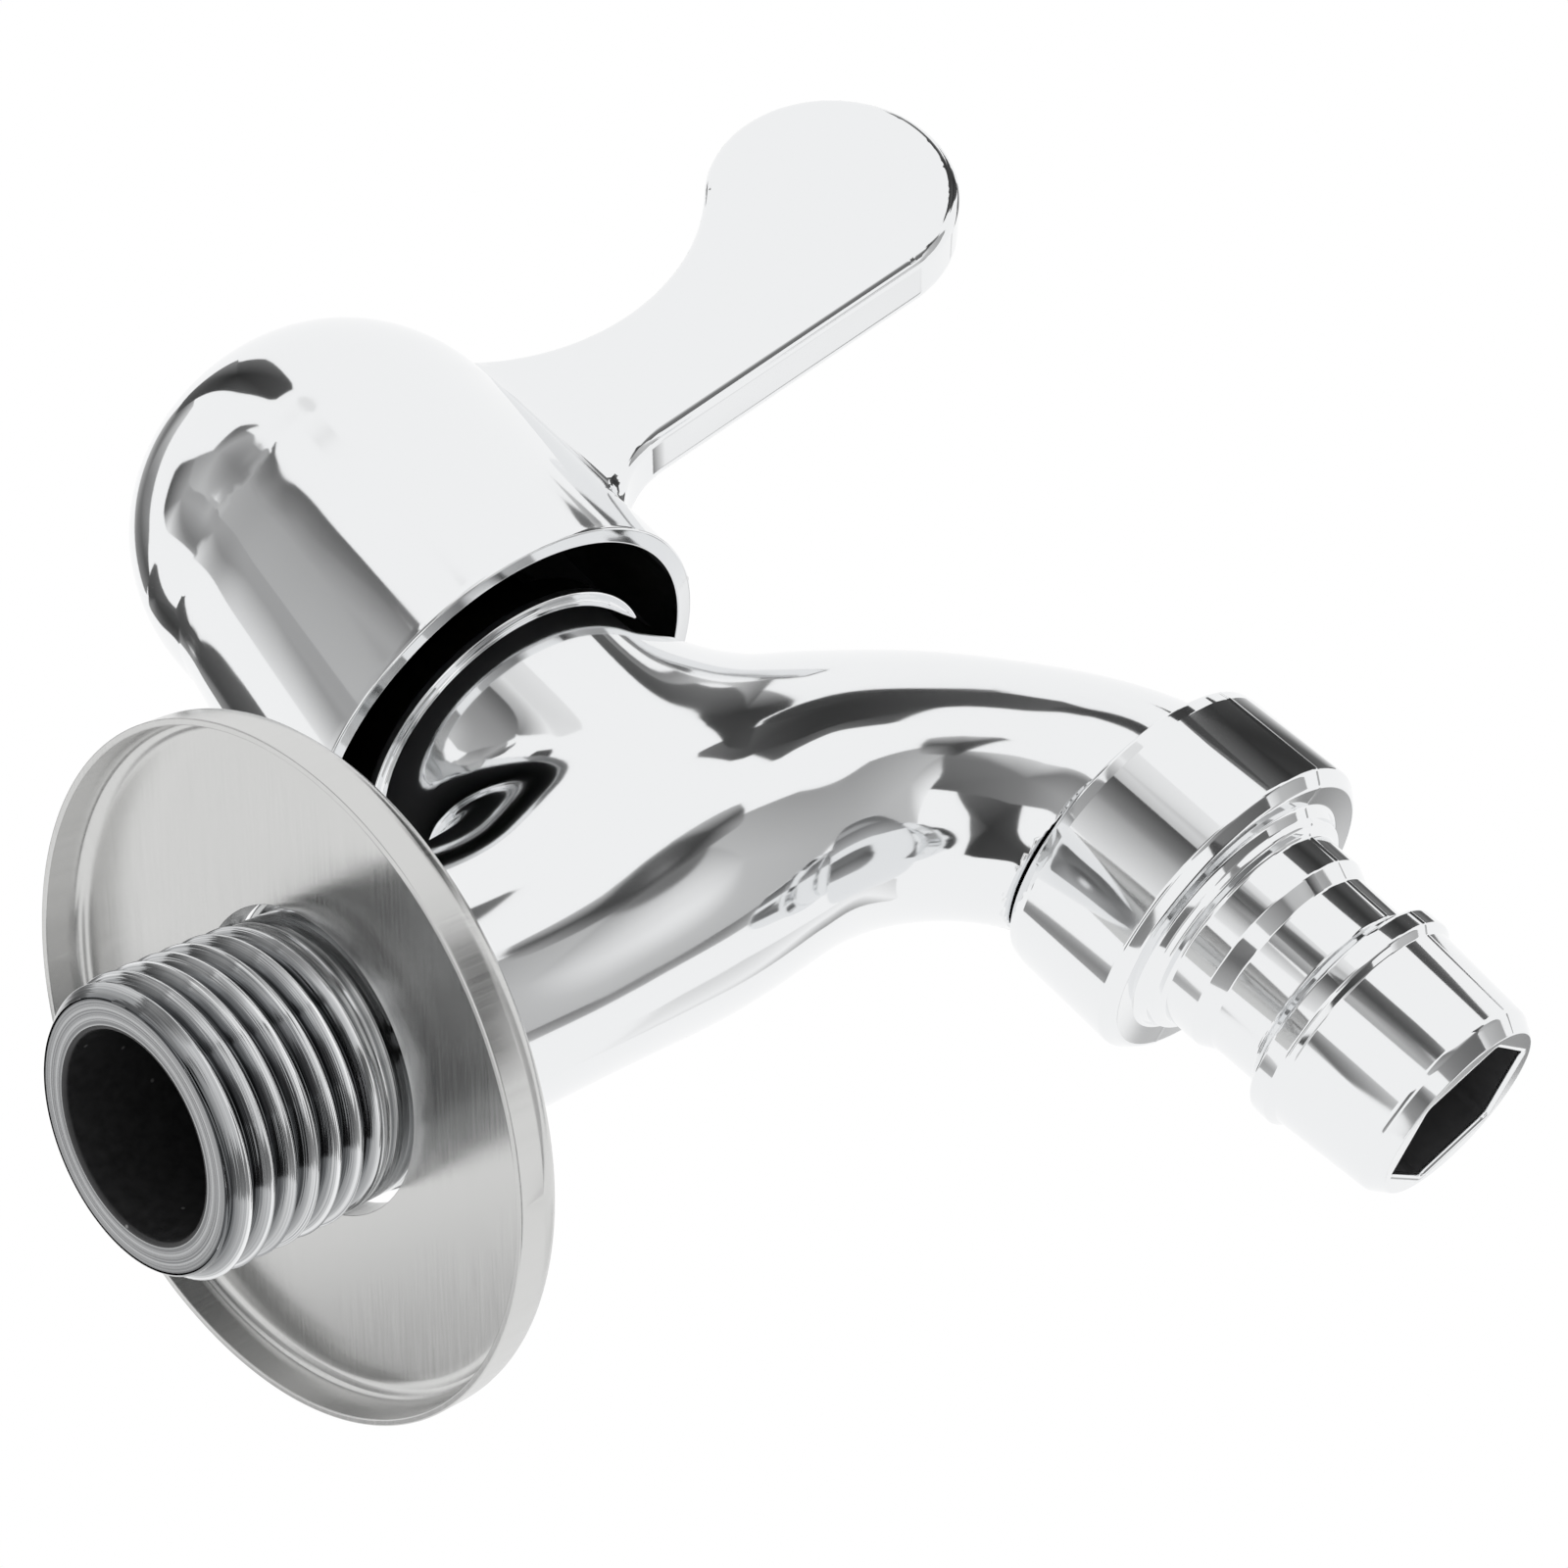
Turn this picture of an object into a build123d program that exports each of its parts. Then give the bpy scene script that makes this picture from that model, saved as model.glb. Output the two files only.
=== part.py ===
from build123d import *
import os
from math import acos, atan2, cos, radians, sin, tan

# Garden wall tap with a quarter-turn ceramic headwork, a lever handle and a hose nozzle.
# Millimetres. The origin is the centre of the cover flange's open rim, on the inlet axis:
# +X leads out of the wall along the inlet, +Z leads up the valve axis.

# Inlet: half-inch pipe thread, drawn plain at its major diameter
THREAD_R = 10.48
INLET_END_X = -11.0
INLET_LEAD = 0.9
THREAD_STOP_X = 1.5
RELIEF_R = 10.2
SHOULDER_X = 6.2
INLET_BORE_R = 7.25
INLET_BORE_END_X = 26.0

# Valve axis and neck
VALVE_X = 38.4
NECK_R = 12.4
NECK_BLEND_R = 7.0
NECK_TOP_Z = 20.3
LIP_R = 13.1
LIP_LOW_Z = 19.5
LIP_CHAMFER = 0.3
SEAT_Z = 2.5
CHAMBER_R = 10.2
CHAMBER_TOP_Z = 11.6
THREAD_GAP = 0.05
PORT_R = 4.0
PORT_Z = -3.3

# Spout: stations along its middle line as x, z, fall of the line in degrees, outer radius
SPOUT_STATIONS = [
    (SHOULDER_X, 0.5, 0, 10.9),
    (14.0, 0.45, -3, 10.3),
    (24.0, 0.9, -6, 10.4),
    (34.0, 2.8, -7, 12.1),
    (44.0, 4.1, -3, 12.5),
    (52.0, 4.0, 8, 11.7),
    (59.0, 2.6, 24, 10.9),
    (65.5, 0.1, 32, 10.5),
    (71.2, -3.5, 45, 10.4),
    (75.4, -7.6, 63, 10.75),
    (78.0, -12.8, 86, 11.3),
]
SPOUT_BORE_R = 6.2
OUTLET_STATIONS = [
    (44.0, 7.6, 10, 5.0),
    (52.0, 5.4, 16, 5.5),
    (59.0, 2.7, 24, 6.0),
]
OUTLET_JOINS_AT = 7
NOZZLE_X = 78.4
SPOUT_SHOULDER_Z = -11.05
SPOUT_END_Z = -19.9

# Hose nozzle: radii down its axis, measured from the collar's back face
COLLAR_BACK_Z = -11.2
COLLAR_BACK_R = 13.65
COLLAR_FRONT_R = 13.85
COLLAR_LENGTH = 10.4
COLLAR_BORE_DEPTH = 10.2
FACE_DROP = 11.4
STEP_R = 10.3
STEM_R = 9.25
STEM_END = 15.7
GROOVE_R = 8.5
GROOVE_START = 17.4
GROOVE_END = 21.5
RIDGE_R = 10.0
RIDGE_START = 22.7
RIDGE_END = 24.2
NOSE_R = 9.45
NOSE_TIP_R = 8.85
NOSE_TIP = 33.0
NOZZLE_LENGTH = 34.6
NOSE_FACE_R = 7.7
NOZZLE_BORE_R = 5.6
KEY_FLATS = 12.3
KEY_DEPTH = 8.0

# Cover flange: thin pressed cup, loose on the thread
SHEET = 0.5
FLANGE_R = 24.8
FLANGE_DEPTH = 3.7
FLANGE_CORNER_R = 1.7
FLANGE_HOLE_R = 11.0
FLANGE_HOLE_BEND = 0.8
FLANGE_NECK_X = 5.7
DIMPLE_R = 2.2
DIMPLE_TIP_R = 10.55
DIMPLE_ANGLES = (100, 220, 340)

# Handle: dome and blade lever, drawn with the lever along +X, then turned to rest
LEVER_REST = -22.0
DOME_RIM_Z = 20.1
DOME_RIM_R = 18.5
DOME_SHOULDER_Z = 42.0
DOME_SHOULDER_R = 16.6
DOME_CAP = 16.5
DOME_LEAN = 2.6
DOME_FULLNESS = 2.3
DOME_STEPS = 6
CAP_RISES = (0.0, 0.22, 0.42, 0.6, 0.75, 0.87, 0.95, 0.985)
DOME_WALL = 1.4
CAP_WALL = 2.2
BLADE_THICK = 5.8
BLADE_EDGE_R = 1.2
BLADE_LOW_Z = 32.5
PADDLE_X = 53.9
PADDLE_Z = 43.1
PADDLE_R = 10.6
HOLLOW_X = 32.0
HOLLOW_Z = 63.02
HOLLOW_R = 19.0
HOLLOW_END_X = 20.0
ROOT_ARC_X = 26.6
ROOT_ARC_R = 9.0
ROOT_ARC_TURN = 64
BLADE_START_X = 16.0
BLADE_ROOT_R = 3.0
BOSS_R = 8.0
BOSS_LOW_Z = 36.4
BOSS_BORE_R = 5.6
BOSS_WEB_Z = 46.0
BOSS_WEB = 1.4
SCREW_HOLE_R = 2.3
SCREW_WELL_R = 4.6
RIB_THICK = 1.4
RIB_REACH = 30.0
RIB_LOW_Z = 42.0
RIB_ANGLES = (45, 135, 225, 315)

# Headwork: bottom to top along the valve axis
SEAL_LIP = 1.0
SEAL_R = 8.7
SEAL_INNER_R = 6.3
DISC_BORE_R = 7.55
FIXED_DISC_Z = 4.8
DISC_THICK = 2.4
DISC_FILM = 0.02
DISC_KEY = (0.8, 2.2)
KEY_NOTCH = (1.6, 2.4, 6.0)
DRIVE_SLOT = (3.6, 3.4, 2.4)
DISC_PORT_R = 5.4
DISC_HUB_R = 1.2
DISC_PORT_ANGLE = 80
WINDOW_LOW_Z = 7.4
WINDOW_HIGH_Z = 11.2
WINDOW_ANGLE = 84
BASE_R = 7.2
BASE_LOW_Z = 11.6
BASE_TOP_Z = 13.3
TONGUE = (1.0, 3.2)
TONGUE_X = 6.4
TONGUE_DEPTH = 1.1
STOP_TOP_Z = 14.6
STOP_LUG_ANGLE = 60
OPEN_TURN = 22
CLOSED_TURN = -68
STOP_MARGIN = 4
SHAFT_R = 4.95
SHAFT_GAP = 0.05
HOUSING_BARREL_R = 8.9
HOUSING_THREAD_LOW_Z = 12.4
HOUSING_FLANGE_R = 12.2
HOUSING_SEAL_R = 11.15
HOUSING_SEAL_SECTION = 0.6
SEAL_SQUASH = 1.0
HEX_FLATS = 19.0
HEX_LOW_Z = 22.6
HEX_TOP_Z = 28.0
SLEEVE_R = 7.4
SLEEVE_TOP_Z = 32.6
CIRCLIP_Z = 33.5
CIRCLIP_THICK = 0.9
CIRCLIP_R = 6.15
CIRCLIP_OPENING = 70
CIRCLIP_GROOVE_R = 4.1
SPLINE_R = 4.0
SPLINE_TEETH = 20
SPLINE_DEPTH = 0.45
SPLINE_LOW_Z = 36.0
SPINDLE_TOP_Z = 45.6
RING_GROOVE_R = 3.6
RING_SECTION = 1.8
RING_LEVELS = (19.0, 24.0)
SCREW_R = 1.95
SCREW_LENGTH = 10.0
SCREW_HEAD_R = 3.5
SCREW_HEAD = 2.4
SCREW_HEAD_ROUND = 1.0
CROSS_SLOT = (3.6, 0.8, 2.4)
WASHER_THICK = 0.8
WASHER_SPLIT = (4.6, 0.4, 4.0)
PLUG_R = SCREW_WELL_R - 0.02
PLUG_PROUD = 0.12
PLUG_THICK = 2.6
PLUG_SKIRT = 5.0
PLUG_WALL = 1.18

CENTRE_MIN = (Align.CENTER, Align.CENTER, Align.MIN)
NODES = {}


def keep(node, shape, colour):
    """Files one finished piece under its node name."""
    shape.label = node
    shape.color = Color(*colour)
    NODES[node] = shape


def drum(radius, low, high, x=0.0):
    """Upright cylinder between two heights."""
    return Pos(x, 0, low) * Cylinder(radius, high - low, align=CENTRE_MIN)


def ring(outer, inner, low, high, x=0.0):
    """Upright ring with a square section."""
    return drum(outer, low, high, x) - drum(inner, low - 1, high + 1, x)


def bar_x(radius, low, high, z=0.0):
    """Cylinder along X between two stations."""
    return Pos(low, 0, z) * Rot(0, 90, 0) * Cylinder(radius, high - low, align=CENTRE_MIN)


def hexagon(flats, low, high, x=0.0):
    """Upright hexagonal bar."""
    outline = RegularPolygon(flats / 2, 6, major_radius=False)
    return Pos(x, 0, low) * extrude(outline, high - low)


def sector(outer, inner, low, high, middle, width):
    """Upright ring segment, its middle at an angle in degrees."""
    reach = outer * 1.6
    steps = 6
    fan = [radians(width * (step / steps - 0.5)) for step in range(steps + 1)]
    outline = [(0, 0)] + [(reach * cos(angle), reach * sin(angle)) for angle in fan]
    wedge = make_face(Polyline(*outline, close=True))
    segment = ring(outer, inner, low, high) & (Pos(0, 0, low) * extrude(wedge, high - low))
    return Rot(0, 0, middle) * segment


def turned(points):
    """Solid turned about Z from an outline of radius and height points."""
    outline = Polyline(*[(r, 0, z) for r, z in points], close=True)
    return revolve(make_face(outline), Axis.Z)


def pipe_face(station, radius):
    """Round section square to the spout's middle line."""
    x, z, fall, _ = station
    along = (cos(radians(fall)), 0, -sin(radians(fall)))
    return Plane(origin=(x, 0, z), x_dir=(0, 1, 0), z_dir=along) * Circle(radius)


def tap_body():
    """One casting: inlet thread, barrel that falls into the spout, valve neck, and water ways."""
    barrel = loft([pipe_face(s, s[3]) for s in SPOUT_STATIONS])
    barrel -= drum(THREAD_R * 2, SPOUT_SHOULDER_Z - 5, SPOUT_SHOULDER_Z, NOZZLE_X)
    # The neck is left tall while it is blended, so that the blend may run out under the lip
    over = NECK_TOP_Z + NECK_BLEND_R
    body = barrel + drum(NECK_R, SPOUT_STATIONS[3][1], over, VALVE_X)
    saddle = [
        edge
        for edge in body.edges()
        if edge.geom_type != GeomType.CIRCLE
        and abs(edge.center().X - VALVE_X) < NECK_R + 2
        and SPOUT_STATIONS[4][1] < edge.center().Z < NECK_TOP_Z
    ]
    body = body.fillet(NECK_BLEND_R, saddle)
    body -= drum(NECK_R * 2, LIP_LOW_Z, over + 1, VALVE_X)

    lip = drum(LIP_R, LIP_LOW_Z, NECK_TOP_Z, VALVE_X)
    lip = chamfer(lip.edges(), LIP_CHAMFER)
    body += lip
    inlet = bar_x(THREAD_R, INLET_END_X, THREAD_STOP_X)
    inlet = chamfer(inlet.faces().sort_by(Axis.X)[0].edges(), INLET_LEAD)
    body += inlet
    body += bar_x(RELIEF_R, THREAD_STOP_X, SHOULDER_X + 0.5)
    outlet = drum(THREAD_R, SPOUT_END_Z, SPOUT_SHOULDER_Z + 0.3, NOZZLE_X)
    body += chamfer(outlet.faces().sort_by(Axis.Z)[0].edges(), INLET_LEAD)

    # Water way in: straight bore, then a lower port under the seat
    body -= bar_x(INLET_BORE_R, INLET_END_X - 1, INLET_BORE_END_X)
    body -= bar_x(PORT_R, INLET_BORE_END_X - 2, VALVE_X, PORT_Z)
    body -= drum(PORT_R, PORT_Z, SEAT_Z + 1, VALVE_X)
    body -= Pos(VALVE_X, 0, PORT_Z) * Sphere(PORT_R)
    # Valve chamber and its thread
    body -= drum(CHAMBER_R, SEAT_Z, CHAMBER_TOP_Z + 1, VALVE_X)
    body -= drum(THREAD_R + THREAD_GAP, CHAMBER_TOP_Z, NECK_TOP_Z + 1, VALVE_X)
    # Water way out, from the chamber down the spout
    way_out = [pipe_face(s, s[3]) for s in OUTLET_STATIONS]
    way_out += [pipe_face(s, SPOUT_BORE_R) for s in SPOUT_STATIONS[OUTLET_JOINS_AT:]]
    body -= loft(way_out)
    body -= drum(SPOUT_BORE_R, SPOUT_END_Z - 1, SPOUT_SHOULDER_Z, NOZZLE_X)
    return body


def hose_nozzle():
    """Collar and stepped nipple in one moulding, with a hexagon key socket in its end."""
    outline = [
        (0, 0),
        (COLLAR_BACK_R - 0.8, 0),
        (COLLAR_BACK_R - 0.2, -0.25),
        (COLLAR_BACK_R, -0.9),
        (COLLAR_FRONT_R, -COLLAR_LENGTH),
        (COLLAR_FRONT_R - 0.3, -COLLAR_LENGTH - 0.6),
        (COLLAR_FRONT_R - 1.0, -FACE_DROP),
        (STEP_R + 0.3, -FACE_DROP - 0.1),
        (STEP_R, -FACE_DROP - 0.4),
        (STEP_R - 0.2, -FACE_DROP - 1.0),
        (STEM_R + 0.4, -FACE_DROP - 1.3),
        (STEM_R, -FACE_DROP - 1.8),
        (STEM_R, -STEM_END),
        (STEM_R - 0.25, -STEM_END - 0.5),
        (GROOVE_R, -GROOVE_START),
        (GROOVE_R, -GROOVE_END),
        (RIDGE_R - 0.35, -RIDGE_START + 0.4),
        (RIDGE_R, -RIDGE_START),
        (RIDGE_R, -RIDGE_END),
        (NOSE_R, -RIDGE_END - 0.5),
        (NOSE_TIP_R, -NOSE_TIP),
        (NOSE_TIP_R - 0.3, -NOSE_TIP - 0.9),
        (NOSE_FACE_R, -NOZZLE_LENGTH),
        (0, -NOZZLE_LENGTH),
    ]
    nozzle = turned(outline)
    nozzle -= drum(THREAD_R + THREAD_GAP, -COLLAR_BORE_DEPTH, 1)
    nozzle -= drum(NOZZLE_BORE_R, -NOZZLE_LENGTH - 1, 0)
    nozzle -= hexagon(KEY_FLATS, -NOZZLE_LENGTH - 1, -NOZZLE_LENGTH + KEY_DEPTH)
    return Pos(NOZZLE_X, 0, COLLAR_BACK_Z) * nozzle


def nozzle_washer():
    """Flat washer between the spout's end and the bottom of the collar's bore."""
    low = COLLAR_BACK_Z - COLLAR_BORE_DEPTH
    return ring(THREAD_R - 0.2, SPOUT_BORE_R, low, SPOUT_END_Z, NOZZLE_X)


def wall_flange():
    """Pressed cup: one line of sheet with round bends, turned about X, and three dimples."""
    mid = SHEET / 2
    rim = (0, FLANGE_R - mid)
    corner = (FLANGE_DEPTH - mid, FLANGE_R - mid)
    bend = (FLANGE_DEPTH - mid, FLANGE_HOLE_R + mid)
    neck = (FLANGE_NECK_X, FLANGE_HOLE_R + mid)
    line = FilletPolyline(rim, corner, bend, neck, radius=[FLANGE_CORNER_R, FLANGE_HOLE_BEND])
    section = trace(line, SHEET)
    cup = revolve(Plane.XZ * section, Axis.X)
    inner = bar_x(FLANGE_HOLE_R + mid, FLANGE_DEPTH, FLANGE_NECK_X)
    for angle in DIMPLE_ANGLES:
        x = (FLANGE_DEPTH + FLANGE_NECK_X) / 2 - 0.1
        ball = Pos(x, 0, DIMPLE_TIP_R + DIMPLE_R) * Sphere(DIMPLE_R)
        cup += (Rot(angle, 0, 0) * ball) & inner
    return cup


def dome_form(wall=0.0, cap_wall=0.0):
    """Round sections up the dome, leaning towards the lever and closing in a full cap."""
    sections = []
    height = DOME_SHOULDER_Z - DOME_RIM_Z
    for step in range(DOME_STEPS):
        part = step / DOME_STEPS
        radius = DOME_RIM_R + (DOME_SHOULDER_R - DOME_RIM_R) * part - wall
        centre = Pos(DOME_LEAN * part, 0, DOME_RIM_Z + height * part)
        sections.append(centre * Rot(0, 0, 180) * Circle(radius))
    for rise in CAP_RISES:
        radius = (DOME_SHOULDER_R - wall) * (1 - rise**DOME_FULLNESS) ** (1 / DOME_FULLNESS)
        z = DOME_SHOULDER_Z + (DOME_CAP - cap_wall) * rise
        sections.append(Pos(DOME_LEAN, 0, z) * Rot(0, 0, 180) * Circle(radius))
    return loft(sections)


def on_circle(x, z, radius, angle):
    """Point on a circle in the lever's own plane."""
    return (x + radius * cos(angle), z + radius * sin(angle))


def lever_blade():
    """Half-paddle outline in the lever's own plane: straight below, hollowed above."""
    # The hollow touches the paddle's circle and runs on straight into the dome
    joint_angle = atan2(HOLLOW_Z - PADDLE_Z, HOLLOW_X - PADDLE_X)
    joint = on_circle(PADDLE_X, PADDLE_Z, PADDLE_R, joint_angle)
    end_angle = -acos((HOLLOW_END_X - HOLLOW_X) / HOLLOW_R)
    end = on_circle(HOLLOW_X, HOLLOW_Z, HOLLOW_R, end_angle)
    end_slope = -1 / tan(end_angle)
    upper_root = (BLADE_START_X, end[1] + end_slope * (BLADE_START_X - end[0]))
    # The lower edge turns down in an arc that also runs on straight into the dome
    arc_z = BLADE_LOW_Z - ROOT_ARC_R
    turn = radians(90 + ROOT_ARC_TURN)
    foot = on_circle(ROOT_ARC_X, arc_z, ROOT_ARC_R, turn)
    foot_slope = -1 / tan(turn)
    lower_root = (BLADE_START_X, foot[1] + foot_slope * (BLADE_START_X - foot[0]))
    mid_turn = on_circle(ROOT_ARC_X, arc_z, ROOT_ARC_R, radians(90 + ROOT_ARC_TURN / 2))
    outline = [
        Line((ROOT_ARC_X, BLADE_LOW_Z), (PADDLE_X, BLADE_LOW_Z)),
        ThreePointArc((PADDLE_X, BLADE_LOW_Z), (PADDLE_X + PADDLE_R, PADDLE_Z), joint),
        ThreePointArc(joint, (HOLLOW_X, HOLLOW_Z - HOLLOW_R), end),
        Polyline(end, upper_root, lower_root, foot),
        ThreePointArc(foot, mid_turn, (ROOT_ARC_X, BLADE_LOW_Z)),
    ]
    blade = extrude(Plane.XZ * make_face(outline), BLADE_THICK / 2, both=True)
    rims = [
        edge
        for edge in blade.edges()
        if abs(edge.center().Y) > BLADE_THICK / 2 - 0.01 and edge.center().X > BLADE_START_X + 0.5
    ]
    return fillet(rims, BLADE_EDGE_R)


def handle():
    """Dome and blade lever in one hollow casting, with a ribbed boss for the spindle."""
    shell = dome_form() + lever_blade()
    root = [
        edge
        for edge in shell.edges()
        if edge.geom_type == GeomType.BSPLINE
        and BLADE_START_X < edge.center().X < HOLLOW_END_X
        and edge.center().Z > DOME_RIM_Z + 1
    ]
    shell = fillet(root, BLADE_ROOT_R)
    cavity = dome_form(DOME_WALL, CAP_WALL)
    shell -= cavity
    boss = drum(BOSS_R, BOSS_LOW_Z, DOME_SHOULDER_Z + DOME_CAP)
    rib_height = DOME_CAP + DOME_SHOULDER_Z - RIB_LOW_Z
    for angle in RIB_ANGLES:
        rib = Box(RIB_REACH, RIB_THICK, rib_height, align=(Align.MIN, Align.CENTER, Align.MIN))
        boss += Rot(0, 0, angle) * Pos(0, 0, RIB_LOW_Z) * rib
    shell += boss & dome_form(DOME_WALL / 2, CAP_WALL / 2)
    shell -= drum(BOSS_BORE_R, BOSS_LOW_Z - 1, BOSS_WEB_Z)
    shell -= drum(SCREW_HOLE_R, BOSS_WEB_Z - 1, BOSS_WEB_Z + 3)
    shell -= drum(SCREW_WELL_R, BOSS_WEB_Z + BOSS_WEB, DOME_SHOULDER_Z + DOME_CAP + 1)
    return shell


def to_rest(shape):
    """Turns a handle piece, drawn over the origin, to its place on the valve axis."""
    return Pos(VALVE_X, 0, 0) * Rot(0, 0, LEVER_REST) * shape


# Headwork pieces, drawn over the origin


def cartridge_housing():
    """Brass headwork: disc chamber with two outlet windows, thread, flange, hexagon, sleeve."""
    body = drum(HOUSING_BARREL_R, SEAT_Z + SEAL_LIP, HOUSING_THREAD_LOW_Z)
    body += drum(THREAD_R, HOUSING_THREAD_LOW_Z, NECK_TOP_Z)
    body += drum(HOUSING_FLANGE_R, NECK_TOP_Z, HEX_LOW_Z)
    body += hexagon(HEX_FLATS, HEX_LOW_Z, HEX_TOP_Z)
    body += drum(SLEEVE_R, HEX_TOP_Z, SLEEVE_TOP_Z)
    body -= drum(DISC_BORE_R, SEAT_Z, BASE_TOP_Z + 0.1)
    body -= drum(SHAFT_R + SHAFT_GAP, SEAT_Z, SLEEVE_TOP_Z + 1)
    groove = HOUSING_SEAL_SECTION + 0.05
    body -= ring(
        HOUSING_SEAL_R + groove, HOUSING_SEAL_R - groove, NECK_TOP_Z - 1, NECK_TOP_Z + SEAL_SQUASH
    ) - drum(THREAD_R, NECK_TOP_Z - 2, NECK_TOP_Z + 2)
    # Stops: a pocket as wide as the lug's travel
    travel = STOP_LUG_ANGLE + OPEN_TURN - CLOSED_TURN + STOP_MARGIN
    middle = (OPEN_TURN + CLOSED_TURN) / 2
    body -= sector(DISC_BORE_R, 2, BASE_TOP_Z, STOP_TOP_Z + 0.1, middle, travel)
    for side in (0, 180):
        body -= sector(THREAD_R, 2, WINDOW_LOW_Z, WINDOW_HIGH_Z, side, WINDOW_ANGLE)
    for side in (90, 270):
        key = Box(*DISC_KEY, DISC_THICK, align=CENTRE_MIN)
        body += Rot(0, 0, side) * Pos(DISC_BORE_R, 0, FIXED_DISC_Z) * key
    return body


def housing_seal():
    """Round-section ring squashed between the neck and the headwork's flange."""
    loop = Pos(0, 0, NECK_TOP_Z + SEAL_SQUASH / 2) * Torus(HOUSING_SEAL_R, HOUSING_SEAL_SECTION)
    return loop & drum(HOUSING_FLANGE_R, NECK_TOP_Z, NECK_TOP_Z + SEAL_SQUASH)


def seat_seal():
    """Rubber seat ring with a lip under the headwork's end."""
    seal = drum(SEAL_R, SEAT_Z, SEAT_Z + SEAL_LIP)
    seal += drum(DISC_BORE_R - 0.05, SEAT_Z, FIXED_DISC_Z)
    return seal - drum(SEAL_INNER_R, SEAT_Z - 1, FIXED_DISC_Z + 1)


def seal_support_ring():
    """Stiff ring that keeps the seat ring from closing in."""
    return ring(SEAL_INNER_R, SEAL_INNER_R - 1.0, SEAT_Z + 0.4, FIXED_DISC_Z)


def ceramic_disc(low, radius):
    """Disc with two open quarter sectors that cover or clear the other disc's."""
    disc = drum(radius, low, low + DISC_THICK)
    for side in (0, 180):
        disc -= sector(DISC_PORT_R, DISC_HUB_R, low - 1, low + DISC_THICK + 1, side, DISC_PORT_ANGLE)
    return disc


def fixed_disc():
    """Lower disc, held from turning by two keys of the headwork."""
    disc = ceramic_disc(FIXED_DISC_Z, DISC_BORE_R - 0.05)
    for side in (90, 270):
        disc -= Rot(0, 0, side) * Pos(DISC_BORE_R, 0, FIXED_DISC_Z) * Box(*KEY_NOTCH)
    return disc


def moving_disc():
    """Upper disc, with two slots for the spindle's tongues."""
    low = FIXED_DISC_Z + DISC_THICK + DISC_FILM
    disc = ceramic_disc(low, BASE_R)
    for side in (90, 270):
        disc -= Rot(0, 0, side) * Pos(DISC_BORE_R, 0, low + DISC_THICK) * Box(*DRIVE_SLOT)
    return disc


def spindle():
    """Spindle: base with stop lug and tongues, shaft with grooves, splined head, tapped end."""
    disc_top = FIXED_DISC_Z + 2 * DISC_THICK
    shaft = drum(BASE_R, BASE_LOW_Z, BASE_TOP_Z)
    shaft += sector(BASE_R, 2, BASE_TOP_Z, STOP_TOP_Z, 0, STOP_LUG_ANGLE)
    for side in (90, 270):
        tongue = Box(*TONGUE, BASE_LOW_Z - disc_top + TONGUE_DEPTH + 0.1, align=CENTRE_MIN)
        shaft += Rot(0, 0, side) * Pos(TONGUE_X, 0, disc_top - TONGUE_DEPTH) * tongue
    shaft += drum(SHAFT_R, BASE_TOP_Z, SPLINE_LOW_Z - 0.6)
    shaft += drum(SPLINE_R, SPLINE_LOW_Z - 1, SPINDLE_TOP_Z)
    cut = SPLINE_DEPTH * 1.6
    for index in range(SPLINE_TEETH):
        cutter = Rot(0, 0, 45) * Box(cut, cut, SPINDLE_TOP_Z, align=CENTRE_MIN)
        turn = Rot(0, 0, index * 360 / SPLINE_TEETH)
        shaft -= turn * Pos(SPLINE_R + 0.1, 0, SPLINE_LOW_Z) * cutter
    for level in RING_LEVELS:
        shaft -= ring(SHAFT_R + 1, RING_GROOVE_R, level, level + RING_SECTION)
    shaft -= ring(SHAFT_R + 1, CIRCLIP_GROOVE_R, CIRCLIP_Z, CIRCLIP_Z + CIRCLIP_THICK + 0.1)
    shaft -= drum(SCREW_R + 0.02, SPINDLE_TOP_Z - SCREW_LENGTH, SPINDLE_TOP_Z + 1)
    return shaft


def spindle_ring(level):
    """Round-section ring in its groove, flattened where it seals on the bore."""
    section = RING_SECTION / 2 - 0.05
    loop = Pos(0, 0, level + RING_SECTION / 2) * Torus(RING_GROOVE_R + section, section)
    return loop & drum(SHAFT_R + SHAFT_GAP / 2, level, level + RING_SECTION)


def spindle_circlip():
    """Open retaining ring above the glide washer."""
    top = CIRCLIP_Z + CIRCLIP_THICK
    clip = ring(CIRCLIP_R, CIRCLIP_GROOVE_R + 0.02, CIRCLIP_Z + 0.02, top)
    return clip - sector(CIRCLIP_R + 1, 1, CIRCLIP_Z - 1, top + 1, 180, CIRCLIP_OPENING)


def glide_washer():
    """Plastic washer between the sleeve and the retaining ring."""
    return ring(SLEEVE_R, SHAFT_R + SHAFT_GAP, SLEEVE_TOP_Z, CIRCLIP_Z - 0.02)


def spline_adapter():
    """Plastic sleeve, pressed into the handle's boss."""
    return ring(BOSS_BORE_R, SPLINE_R + 0.02, BOSS_LOW_Z, BOSS_WEB_Z)


def handle_screw():
    """Cross-head screw down into the spindle."""
    low = SPINDLE_TOP_Z - SCREW_LENGTH + 2
    seat = BOSS_WEB_Z + BOSS_WEB + WASHER_THICK
    screw = drum(SCREW_R, low, seat)
    head = drum(SCREW_HEAD_R, seat, seat + SCREW_HEAD)
    screw += fillet(head.faces().sort_by(Axis.Z)[-1].edges(), SCREW_HEAD_ROUND)
    for turn in (0, 90):
        screw -= Rot(0, 0, turn) * Pos(0, 0, seat + SCREW_HEAD) * Box(*CROSS_SLOT)
    return screw


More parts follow.
